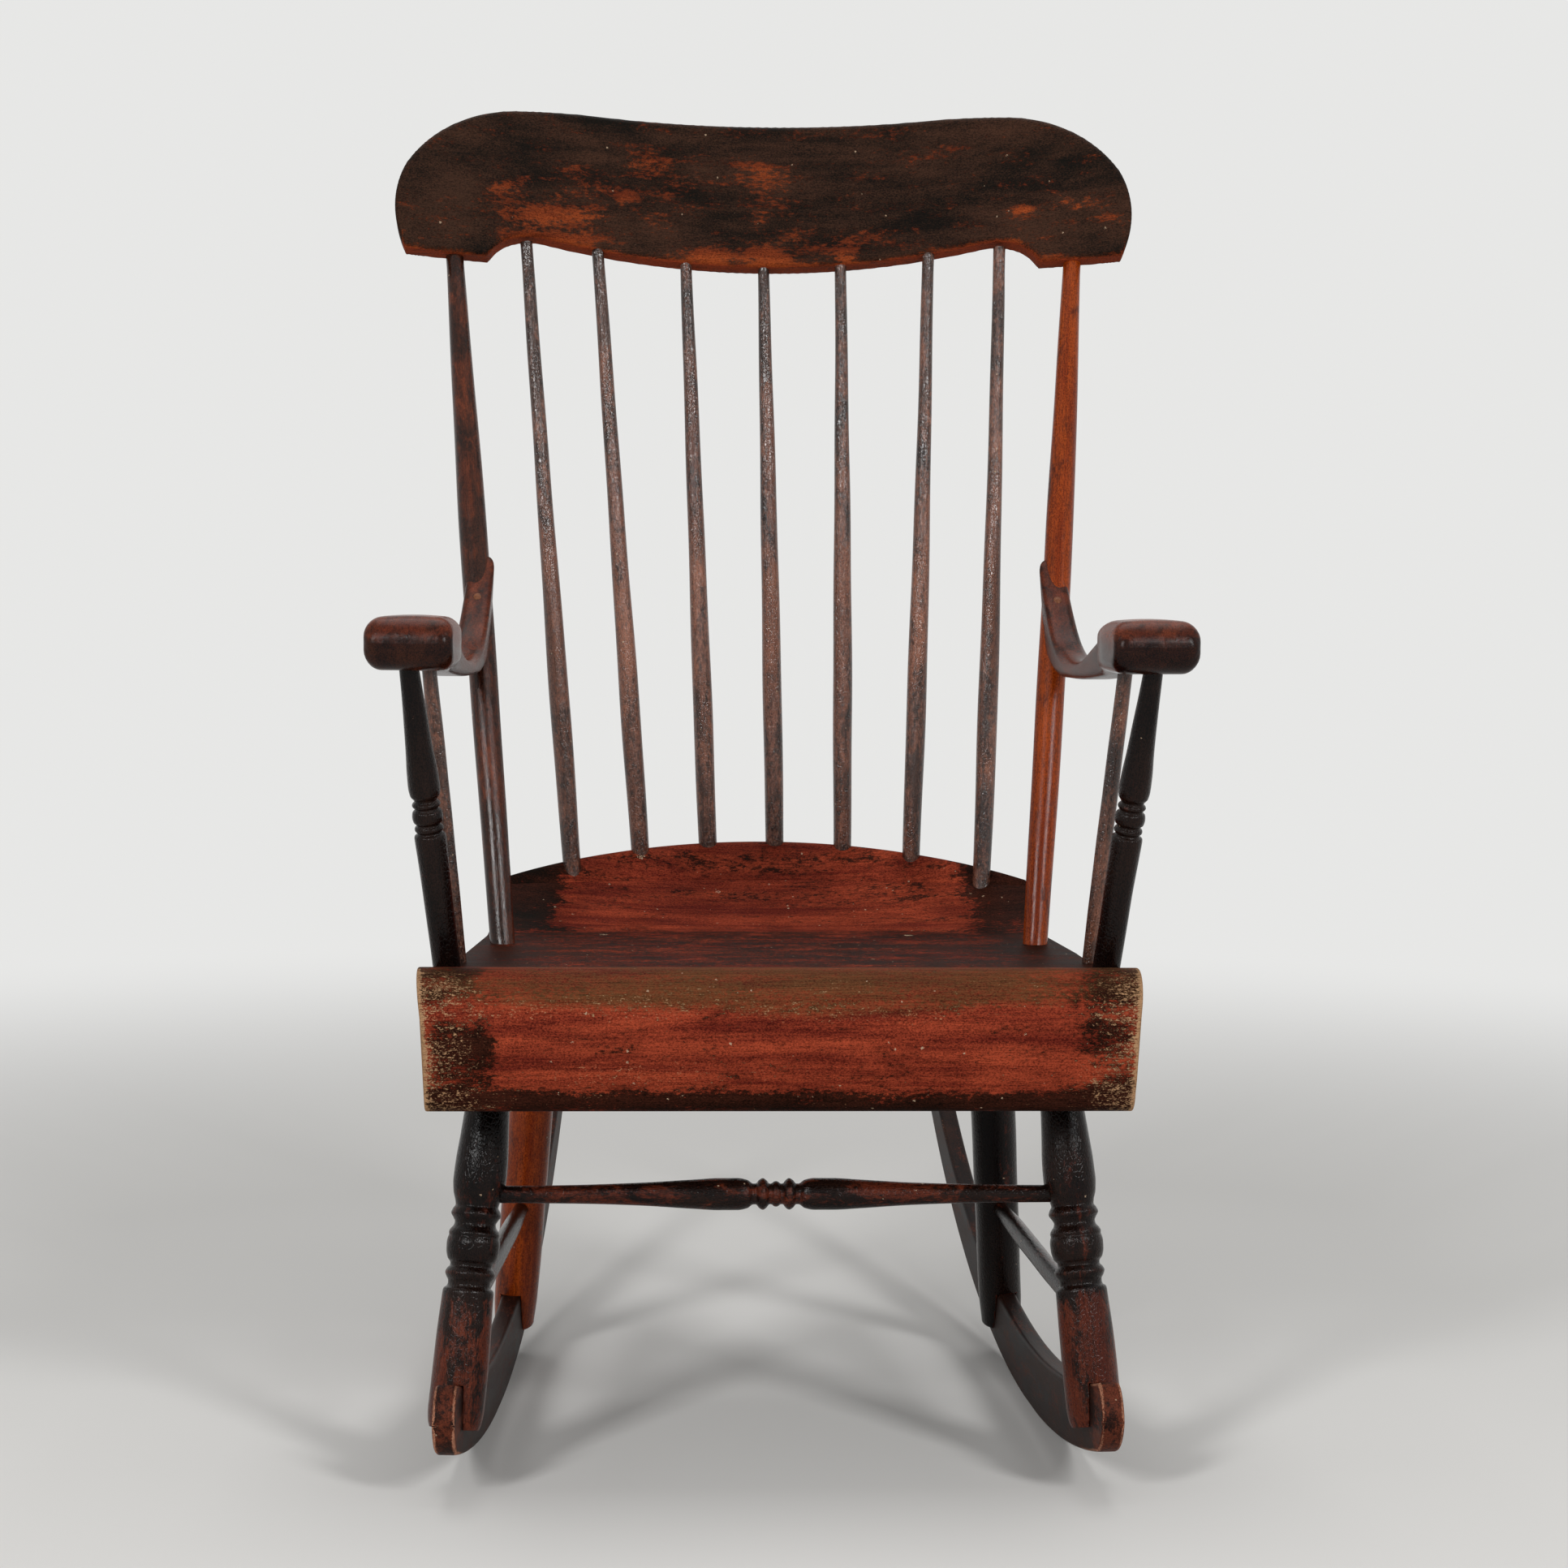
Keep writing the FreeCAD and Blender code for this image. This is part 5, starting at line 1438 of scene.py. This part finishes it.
@dataclass(frozen=True)
class Crest:
    """The crest rail: a bowed board with a scrolled outline and soft edges."""

    half_width: float = 298.0
    rise: float = LAYOUT.crest_rise
    thickness: float = 20.0
    edge: float = 5.0
    patches: tuple[tuple[float, ...], ...] = (
        (-180.0, 30.0, 38.0, 14.0, 0.62), (-208.0, 16.0, 60.0, 14.0, 0.28), (-138.0, 30.0, 42.0, 5.0, 0.36),
        (0.0, 14.0, 58.0, 34.0, 0.24), (-6.0, 34.0, 84.0, 10.0, 0.18), (-84.0, 24.0, 92.0, 8.0, 0.28),
        (-88.0, 12.0, 40.0, 9.0, 0.26), (-176.0, 30.0, 20.0, 5.0, 0.40), (-43.0, 18.0, 10.0, 8.0, 0.75),
        (2.0, 24.0, 8.0, 9.0, 0.62), (68.0, 13.0, 10.0, 8.0, 0.55), (212.0, 13.0, 45.0, 6.0, 0.62),
        (252.0, 16.0, 45.0, 9.0, 0.30), (277.0, 14.0, 33.0, 12.0, 0.32), (40.0, 60.0, 30.0, 20.0, 0.14),
        (-120.0, 60.0, 70.0, 26.0, 0.14))

    def outline(self) -> Line:
        """Points of the upper and of the lower edge of the left half, from the middle outwards.

        Returns:
            The two rows of points.
        """
        wide, tall = self.half_width, self.rise
        upper = path_points((-0.42 * wide, 0.990 * tall), sized(
            wide, tall, (0.0, 0.968, 0.42, 0.990), (0.56, 1.0, 0.69, 0.985), (0.862, 0.836, 0.975, 0.55)))
        end = arc_points(upper[-1], (wide, 0.33 * tall), (0.972 * wide, 0.0), 120)
        turn = int(end[:, 0].argmax())
        lower = path_points(end[-1], sized(
            wide, tall, (0.752, 0.0), (0.7245, 0.083, 0.6846, 0.135), (0.6426, 0.154, 0.60, 0.148),
            (0.0, 0.023, -0.60, 0.148)))
        upper = np.concatenate([upper, end[1:turn + 1]])
        lower = np.concatenate([end[turn:], lower[1:]])
        return upper[upper[:, 0] >= 0], lower[lower[:, 0] >= 0]

    def skin(self, name: str) -> Skin:
        """Fill the outline with a grid whose two faces fall away near the rim as a quarter circle.

        Each column stands at one X, from the lower to the upper edge in front and back down behind.

        Args:
            name: Name of the piece.

        Returns:
            The skin, bowed about an upright axis and leant back.
        """
        upper, lower = self.outline()
        x = np.sin(np.linspace(-1, 1, 261) * math.pi / 2 * 0.997) * upper[:, 0].max()
        top = by_place(upper, np.abs(x))
        low = by_place(lower, np.abs(x))
        share = 0.5 - 0.5 * np.cos(np.linspace(0, math.pi, 60))
        h = low[:, None] + (top - low)[:, None] * share
        middle = [[0.0, np.interp(0.0, *upper[:2].T)]], [[0.0, lower[-1, 1]]]
        rim = np.concatenate([middle[0], upper, lower, middle[1]])
        step = travel(rim)
        at = np.arange(0, step[-1], 0.8)
        rim = np.stack([np.interp(at, step, rim[:, 0]), np.interp(at, step, rim[:, 1])], axis=1)
        rim = np.concatenate([rim, rim * (-1, 1)])
        spot = np.stack([x[:, None] + 0 * h, h], axis=-1).reshape(-1, 1, 2)
        distance = np.concatenate([np.sqrt(((part - rim[None]) ** 2).sum(-1).min(1))
                                   for part in np.array_split(spot, 12)]).reshape(h.shape)
        distance[:, [0, -1]] = 0.0
        inset = np.clip(distance / self.edge, 0, 1)
        depth = self.thickness / 2 - self.edge * (1 - np.sqrt(1 - (1 - inset) ** 2))
        local_x, local_h, local_d, shift = (
            np.concatenate([front, rear[:, ::-1]], axis=1)
            for front, rear in ((x[:, None] + 0 * h,) * 2, (h, h), (distance, distance), (-depth, depth)))
        radius = LAYOUT.crest_bow_radius
        local_y = np.sqrt((radius + shift) ** 2 - local_x ** 2) - radius
        lean = math.radians(LAYOUT.crest_lean)
        grid = np.stack([
            local_x,
            LAYOUT.front_y + LAYOUT.crest_setback + local_y * math.cos(lean) + local_h * math.sin(lean),
            LAYOUT.crest_height - local_y * math.sin(lean) + local_h * math.cos(lean)], axis=-1)
        grain = np.stack([local_x, local_h, local_y], axis=-1)
        height = local_h / self.rise
        patch = blots(local_x, local_h, self.patches)
        low_edge = np.exp(-local_d / 2.6) * (height < 0.3) * (np.abs(local_x) < 292.0)
        cover = 0.82 - patch * (shift < 0) - 0.42 * low_edge
        bare = 0.40 * low_edge + 0.22 * np.exp(-local_d / 2.0)
        tint = 0.45 * bump_at(local_x, -250.0, 60.0)
        tint = tint + 0.30 * bump_at(local_x, 60.0, 90.0) * ramp(local_h, 20.0, 70.0)
        return Skin(name, grid, grain, cover, bare, tint)

    def build(self, shop: Workshop) -> None:
        """Build and dress the rail."""
        shop.dress(self.skin("scrolled_crest").make(), CREST_PAINT, "crest_rail")


# Arms


@dataclass(frozen=True)
class Arm:
    """A shaped arm: a fat rolled hand in front, a dip, and a rise that laps the back post."""

    side: Side
    length: float = 330.0
    rise: float = 64.0
    hand_thickness: float = 38.0
    hand_width: float = 62.0
    slim: float = 26.0
    end_width: float = 20.0
    splay: float = 6.3
    post_diameter: float = 23.0
    rod_diameter: float = 11.5
    peg_diameter: float = 7.0
    into_wood: float = 18.0

    def side_view(self, along: Array) -> Line:
        """Heights of the underside and the top at distances from the tip, above the hand's underside.

        Args:
            along: Distances from the front end.

        Returns:
            The lower and the upper heights.
        """
        long, rise, nose = self.length, self.rise, self.hand_thickness / 2
        front = arc_points((nose, 0.0), (0.0, nose), (nose, 2 * nose), 81)
        top = path_points((nose, 2 * nose), sized(
            long, rise, (0.15, 0.585, 0.250, 0.525), (0.372, 0.34, 0.494, 0.125), (0.60, 0.0, 0.73, 0.055),
            (0.80, 0.19, 0.855, 0.40), (0.890, 0.58, 1.0, 1.31)))
        under = path_points((long, rise * 0.5), sized(
            long, rise, (0.915, 0.10), (0.83, -0.13, 0.70, -0.20), (0.50, -0.17, 0.25, -0.01),
            (0.058, 0.0)))
        steps = np.linspace(0, self.length, 700)
        low = by_place(np.concatenate([front[:41], under]), steps)
        high = by_place(np.concatenate([front[40:], top]), steps)
        soft = ramp(steps, 30.0, 60.0)
        low = low * (1 - soft) + blur(low, 16) * soft
        high = high * (1 - soft) + blur(high, 16) * soft
        return np.interp(along, steps, low), np.interp(along, steps, high)

    def half_width(self, along: Array) -> Array:
        """Half width in plan: rounded front corners, full at the hand, drawn in to the slim arm.

        Args:
            along: Distances from the front end.

        Returns:
            The half widths.
        """
        wide, slim, end = self.hand_width / 2, self.slim / 2, self.end_width / 2
        corner = 9.0
        eased = corner * (1 - math.sqrt(0.5))
        front = arc_points((0.0, wide - corner), (eased, wide - eased), (corner, wide), 20)
        knots = [(corner, wide), (30.0, wide - 0.6), (49.0, wide - 1.6), (70.0, wide - 4.6), (84.0, 23.2),
                 (98.0, 17.0), (116.0, slim), (198.0, slim), (self.length, end)]
        steps = np.linspace(corner, self.length, 500)
        points = np.concatenate([front, np.stack([steps, smooth_knots(knots, steps)], 1)])
        return np.interp(along, points[:, 0], points[:, 1])

    def make(self, name: str) -> bpy.types.Object:
        """Carry a rounded rectangle along the arm, then trim its end to lap the back post.

        The section's corners are wide at the hand, whose top is crowned, and narrower behind it.

        Args:
            name: Name of the piece.

        Returns:
            The arm's object.
        """
        turn = (1 - np.cos(np.linspace(0.05, math.pi / 2, 36))) * 19.0
        along = np.concatenate([turn, np.linspace(19.0, self.length, 190)[1:]])
        low, high = self.side_view(along)
        half = self.half_width(along)
        radius = 6.0 + 4.5 * ramp(-along, -110.0, -70.0)
        across, up, corner = rounded_section(half, (high - low) / 2, radius, 7, (9, 5))
        height = up + ((low + high) / 2)[:, None]
        share = across / half[:, None]
        crown = 2.2 * ramp(-along, -100.0, -55.0) * ramp(along, 4.0, 22.0)
        top = ramp(up / np.maximum((high - low) / 2, 1.0)[:, None], 0.2, 1.0)
        height = height - crown[:, None] * share ** 2 * top
        place_along = along[:, None] + 0 * across
        tip = LAYOUT.place(259.0, -22.0, LAYOUT.arm_underside, self.side.value)
        grid = laid(tip, self.side.value * self.splay, across, place_along, height)
        grain = np.stack([place_along + 500.0 * self.side.value, across, height], axis=-1)
        top_side = ramp(height, 14.0, 30.0) * (1 - ramp(place_along, 60.0, 110.0))
        front = 1 - ramp(place_along, 4.0, 16.0)
        cover = 0.56 - 0.30 * top_side + 0.22 * front - 0.08 * ramp(place_along, 110.0, 200.0)
        bare = corner * 0.16
        thing = Skin(name, grid, grain, cover, bare, np.zeros_like(across)).make()
        foot, head = LAYOUT.back_post(self.side.value)
        _, y_axis, _ = stick_axes(foot, head)
        lap = 7.0 - LAYOUT.post_bend - LAYOUT.post_diameter / 2
        trim(thing, foot + y_axis * lap, y_axis)
        return thing

    def build(self, shop: Workshop) -> None:
        """Build and dress the arm, the turned post and the rod under it, and its peg.

        Args:
            shop: The workshop with its paints.
        """
        k, word, deep = self.side.value, self.side.word, self.into_wood
        shop.dress(self.make(f"rolled_arm_{word}"), ARM_PAINT, f"arm_{word}")
        shop.turn(Stick(
            f"ringed_arm_post_{word}", *LAYOUT.arm_post(k), self.post_diameter, ARM_POST, 31.0 + k,
            cover=0.92, ring_wear=0.25, beyond=(deep, deep), rows=440), LEG_PAINT, f"arm_post_{word}")
        shop.turn(Stick(
            f"arm_rod_{word}", *LAYOUT.arm_spindle(k), self.rod_diameter, ROD, 35.0 + k, cover=0.62,
            ring_wear=0.1, beyond=(deep, 9.9), columns=32), SPINDLE_PAINT_AND_HIGHLIGHT, f"arm_spindle_{word}")
        shop.turn(Stick(
            f"domed_peg_{word}", *LAYOUT.arm_peg(k), self.peg_diameter, PEG, 41.0 + k, cover=0.35,
            ring_wear=0.3, rows=80, columns=28, wobble=0.05), PEG_WOOD, "arm_pegs")


# The turned outlines, as shares of length and of full diameter

FRONT_LEG = [
    (0.0, 0.88), (0.015, 0.95), (0.05, 1.0), (0.13, 1.0), (0.22, 0.98), (0.30, 0.935), (0.322, 0.925),
    (0.330, 0.90), (0.337, 0.785), (0.343, 0.765), (0.350, 0.775), (0.357, 0.84), (0.369, 0.905),
    (0.379, 0.84), (0.386, 0.755), (0.392, 0.76), (0.402, 0.87), (0.422, 0.945), (0.440, 0.955),
    (0.452, 0.93), (0.458, 0.90), (0.464, 0.915), (0.471, 0.88), (0.482, 0.76), (0.490, 0.735),
    (0.498, 0.79), (0.511, 0.895), (0.522, 0.84), (0.531, 0.765), (0.540, 0.79), (0.562, 0.89),
    (0.595, 0.945), (0.64, 0.93), (0.70, 0.865), (0.80, 0.77), (0.90, 0.72), (1.0, 0.70)]
REAR_LEG = [(0.0, 0.90), (0.08, 0.98), (0.30, 1.0), (0.62, 1.0), (0.84, 0.92), (1.0, 0.82)]
ARM_POST = [
    (0.0, 0.86), (0.10, 0.865), (0.25, 0.885), (0.40, 0.95), (0.449, 0.975), (0.458, 0.95), (0.466, 0.77),
    (0.470, 0.765), (0.475, 0.86), (0.481, 0.89), (0.487, 0.86), (0.492, 0.745), (0.496, 0.75),
    (0.505, 0.90), (0.521, 0.95), (0.537, 0.90), (0.546, 0.75), (0.550, 0.745), (0.555, 0.84),
    (0.560, 0.88), (0.566, 0.84), (0.572, 0.71), (0.578, 0.74), (0.592, 0.92), (0.62, 0.985), (0.66, 0.96),
    (0.74, 0.84), (0.83, 0.745), (0.92, 0.66), (1.0, 0.60)]
PLAIN_STRETCHER = [(0.0, 0.80), (0.08, 0.80), (0.22, 0.95), (0.36, 1.0), (0.64, 1.0), (0.78, 0.95),
                   (0.92, 0.80), (1.0, 0.80)]
STRETCHER_HALF = [
    (0.0, 0.54), (0.08, 0.55), (0.16, 0.585), (0.27, 0.71), (0.36, 0.91), (0.405, 1.0), (0.435, 1.0),
    (0.452, 0.88), (0.462, 0.65), (0.466, 0.65), (0.471, 0.86), (0.478, 0.99), (0.484, 0.86),
    (0.489, 0.645), (0.492, 0.65), (0.4965, 0.77)]
FRONT_STRETCHER = STRETCHER_HALF + [(0.5, 0.80)] + [(1 - a, b) for a, b in reversed(STRETCHER_HALF)]
POST = [(0.0, 0.86), (0.20, 0.95), (0.42, 1.0), (0.58, 1.0), (0.80, 0.84), (1.0, 0.64)]
SPINDLE = [(0.0, 0.90), (0.12, 0.96), (0.25, 1.0), (0.52, 0.86), (0.78, 0.71), (1.0, 0.60)]
ROD = [(0.0, 0.94), (0.3, 1.0), (0.7, 1.0), (1.0, 0.92)]
PEG = [(0.0, 1.0), (0.90, 1.0), (0.95, 0.96), (0.98, 0.82), (1.0, 0.55)]

# Dark paint left along a stick, as shares of length and of paint; on the spindles the thin middle is partly
# painted highlight

FRONT_LEG_RUB = [(0.0, 0.30), (0.20, 0.42), (0.30, 0.52), (0.34, 0.85), (0.60, 0.80), (0.75, 0.88),
                 (1.0, 0.95)]
STRETCHER_RUB = [(0.0, 0.75), (0.2, 0.50), (0.40, 0.72), (0.47, 0.55), (0.53, 0.55), (0.60, 0.72),
                 (0.8, 0.50), (1.0, 0.75)]
# Thinner dark cover near the spindles' middle: partly rubbing, and partly painted highlight that bares the
# pale under colour.
SPINDLE_RUB_AND_HIGHLIGHT = [(0.0, 0.52), (0.25, 0.46), (0.45, 0.36), (0.7, 0.50), (1.0, 0.62)]


@dataclass(frozen=True)
class Legs:
    """The four legs, each slotted over its rocker; one rear leg is a varnished one."""

    front_diameter: float = 40.0
    rear_diameter: float = 35.5
    into_seat: float = 26.0
    wobble: float = 0.25
    varnished: Side = Side.RIGHT

    def build(self, shop: Workshop) -> None:
        """Build, slot and dress the legs of each side.

        Args:
            shop: The workshop with its paints.
        """
        for side in Side:
            k, word = side.value, side.word
            orange = side is self.varnished
            front = Stick(
                f"turned_front_leg_{word}", *LAYOUT.front_leg(k), self.front_diameter, FRONT_LEG, 3.1 + k,
                ring_wear=0.42, rub=FRONT_LEG_RUB, beyond=(0.0, self.into_seat), rows=440, columns=72,
                wobble=self.wobble)
            rear = Stick(
                f"plain_rear_leg_{word}", *LAYOUT.rear_leg(k), self.rear_diameter, REAR_LEG, 7.7 + k,
                cover=0.30 if orange else 0.85, ring_wear=0.4, beyond=(0.0, self.into_seat),
                wobble=self.wobble)
            for stick, paint, node in ((front, LEG_PAINT, f"front_leg_{word}"),
                                       (rear, POST_VARNISH if orange else LEG_PAINT, f"rear_leg_{word}")):
                leg = stick.skin().make()
                Rocker(side).slot(leg)
                shop.dress(leg, paint, node)


@dataclass(frozen=True)
class Stretchers:
    """The four stretchers, with the heights at which their axes meet the legs'."""

    front_diameter: float = 23.0
    plain_diameter: float = 15.0
    front_height: float = 203.0
    rear_height: float = 228.0
    side_heights: tuple[float, float] = (119.0, 133.0)

    def build(self, shop: Workshop) -> None:
        """Build and dress the front, the rear and the side stretchers.

        Args:
            shop: The workshop with its paints.
        """
        front = [height_point(LAYOUT.front_leg(k), self.front_height) for k in (-1, 1)]
        rear = [height_point(LAYOUT.rear_leg(k), self.rear_height) for k in (-1, 1)]
        shop.turn(Stick("turned_front_stretcher", *front, self.front_diameter, FRONT_STRETCHER, 5.0,
                        ring_wear=0.36, rub=STRETCHER_RUB, rows=520), LEG_PAINT, "front_stretcher")
        shop.turn(Stick("plain_rear_stretcher", *rear, self.plain_diameter, PLAIN_STRETCHER, 6.0,
                        cover=0.85), LEG_PAINT, "rear_stretcher")
        for side in Side:
            k, word = side.value, side.word
            ends = [height_point(leg(k), height)
                    for leg, height in zip((LAYOUT.front_leg, LAYOUT.rear_leg), self.side_heights)]
            shop.turn(Stick(f"plain_side_stretcher_{word}", *ends, self.plain_diameter, PLAIN_STRETCHER,
                            8.0 + k, cover=0.72), LEG_PAINT, f"side_stretcher_{word}")


@dataclass(frozen=True)
class Back:
    """The two bent posts and the seven bent spindles between the seat and the crest rail."""

    posts: tuple[tuple[Side, Paint, float], ...] = (
        (Side.LEFT, POST_VARNISH, 0.26), (Side.RIGHT, DARK_VARNISH, 0.55))
    post_ends: tuple[float, float] = (28.0, 34.0)
    spindle_diameter: float = 16.0
    spindle_bend: float = 14.0
    into_roll: float = 26.0
    into_rail: tuple[float, ...] = (9.0, 10.0, 15.0, 20.0)

    def build(self, shop: Workshop) -> None:
        """Build and dress the posts, then the spindles from right to left.

        Args:
            shop: The workshop with its paints.
        """
        for side, paint, cover in self.posts:
            k, word = side.value, side.word
            shop.turn(Stick(
                f"bent_post_{word}", *LAYOUT.back_post(k), LAYOUT.post_diameter, POST, 11.0 + k,
                cover=cover, bend=LAYOUT.post_bend, beyond=self.post_ends, wobble=0.25),
                paint, f"back_post_{word}")
        for number in range(-3, 4):
            shop.turn(Stick(
                f"bent_spindle_{number + 4}", *LAYOUT.spindle(number), self.spindle_diameter, SPINDLE,
                21.0 + number, rub=SPINDLE_RUB_AND_HIGHLIGHT, bend=self.spindle_bend,
                beyond=(self.into_roll, self.into_rail[abs(number)]), columns=36, wobble=0.3),
                SPINDLE_PAINT_AND_HIGHLIGHT, f"back_spindle_{number + 4}")


@dataclass(frozen=True)
class Lamp:
    """A soft rectangular lamp aimed at a point, in metres and watts."""

    name: str
    spot: Place
    aim: Place
    size: tuple[float, float]
    power: float

    def light(self) -> None:
        """Hang the lamp."""
        data = bpy.data.lights.new(self.name, "AREA")
        data.shape = "RECTANGLE"
        data.size, data.size_y = self.size
        data.energy = self.power
        lamp = bpy.data.objects.new(self.name, data)
        bpy.context.scene.collection.objects.link(lamp)
        lamp.location = self.spot
        lamp.rotation_euler = (Vector(self.aim) - Vector(self.spot)).to_track_quat("-Z", "Y").to_euler()


@dataclass(frozen=True)
class Studio:
    """The pale floor, the soft lamps and the camera at the photograph's angle."""

    backdrop: Colour = (0.80, 0.80, 0.79)
    fill: float = 0.26
    floor_colour: Colour = (0.78, 0.77, 0.75)
    floor_size: float = 30.0
    floor_fade: tuple[float, float] = (0.75, 2.6)
    lamps: tuple[Lamp, ...] = (
        Lamp("softbox_left", (-1.75, -2.7, 1.75), (0.0, 0.0, 0.5), (0.5, 0.8), 44.0),
        Lamp("softbox_right", (1.85, -2.6, 1.85), (0.0, 0.0, 0.5), (0.5, 0.8), 44.0),
        Lamp("overhead", (0.0, 0.3, 3.2), (0.0, 0.0, 0.0), (2.2, 2.2), 34.0))
    turns: Place = (4.73, 2.50, 0.42)
    focal_pixels: float = 3992.0
    photo_pixels: float = 1932.0
    sensor: float = 36.0
    eye: Place = (-0.097, -2.243, 0.691)

    def floor(self) -> None:
        """A wide pale floor that isn't part of the chair and fades into the backdrop."""
        bpy.ops.mesh.primitive_plane_add(size=self.floor_size)
        floor = bpy.context.object
        floor.name = "studio_floor"
        material = bpy.data.materials.new("pale_floor")
        material.use_nodes = True
        tree = material.node_tree
        shader = tree.nodes["Principled BSDF"]
        shader.inputs["Base Color"].default_value = (*self.floor_colour, 1.0)
        shader.inputs["Roughness"].default_value = 0.85
        shader.inputs["Specular IOR Level"].default_value = 0.1
        w = Wiring(tree)
        away = w.add("VectorMath", operation="LENGTH")
        w.feed(away.inputs[0], w.add("TexCoord").outputs["Object"])
        glow = w.add("Emission")
        glow.inputs["Color"].default_value = (*self.backdrop, 1.0)
        blend = w.add("MixShader")
        fade = w.spread(away.outputs["Value"], *self.floor_fade)
        w.feed(blend.inputs[0], w.maths("MULTIPLY", w.shown(), fade))
        w.feed(blend.inputs[1], shader.outputs[0])
        w.feed(blend.inputs[2], glow.outputs[0])
        w.feed(tree.nodes["Material Output"].inputs["Surface"], blend.outputs[0])
        floor.data.materials.append(material)

    def world(self) -> None:
        """A dim even fill, seen as a pale backdrop by the camera alone."""
        world = bpy.data.worlds.new("studio")
        bpy.context.scene.world = world
        world.use_nodes = True
        w = Wiring(world.node_tree)
        back = world.node_tree.nodes["Background"]
        back.inputs["Color"].default_value = (*self.backdrop, 1.0)
        w.feed(back.inputs["Strength"], w.maths("MULTIPLY_ADD", w.shown(), 1.0 - self.fill, self.fill))

    def camera(self) -> None:
        """The camera fitted to the photograph: its axes follow from pitch, yaw and a slight roll."""
        pitch, yaw, roll = (math.radians(v) for v in self.turns)
        cp, sp, cy, sy = math.cos(pitch), math.sin(pitch), math.cos(yaw), math.sin(yaw)
        level = Vector((cy, -sy, 0.0))
        upright = Vector((sy * sp, cy * sp, cp))
        right = level * math.cos(roll) + upright * math.sin(roll)
        up = upright * math.cos(roll) - level * math.sin(roll)
        turn = Matrix((right, up, right.cross(up))).transposed().to_4x4()
        data = bpy.data.cameras.new("photo_view")
        data.sensor_width = self.sensor
        data.lens = self.focal_pixels / self.photo_pixels * self.sensor
        camera = bpy.data.objects.new("photo_view", data)
        bpy.context.scene.collection.objects.link(camera)
        x, y, z = self.eye
        camera.matrix_world = Matrix.Translation((x, y + LAYOUT.front_y * METRE, z)) @ turn
        bpy.context.scene.camera = camera


def main() -> None:
    """Build the studio and the chair."""
    logging.basicConfig(level=logging.INFO, format="%(message)s")
    bpy.context.scene.view_settings.view_transform = "Standard"
    studio = Studio()
    studio.camera()
    studio.world()
    for lamp in studio.lamps:
        lamp.light()
    studio.floor()
    shop = Workshop()
    for part in (*map(Rocker, Side), Legs(), Stretchers(), Seat(), Crest(), Back(), *map(Arm, Side)):
        part.build(shop)


if __name__ == "__main__":
    main()
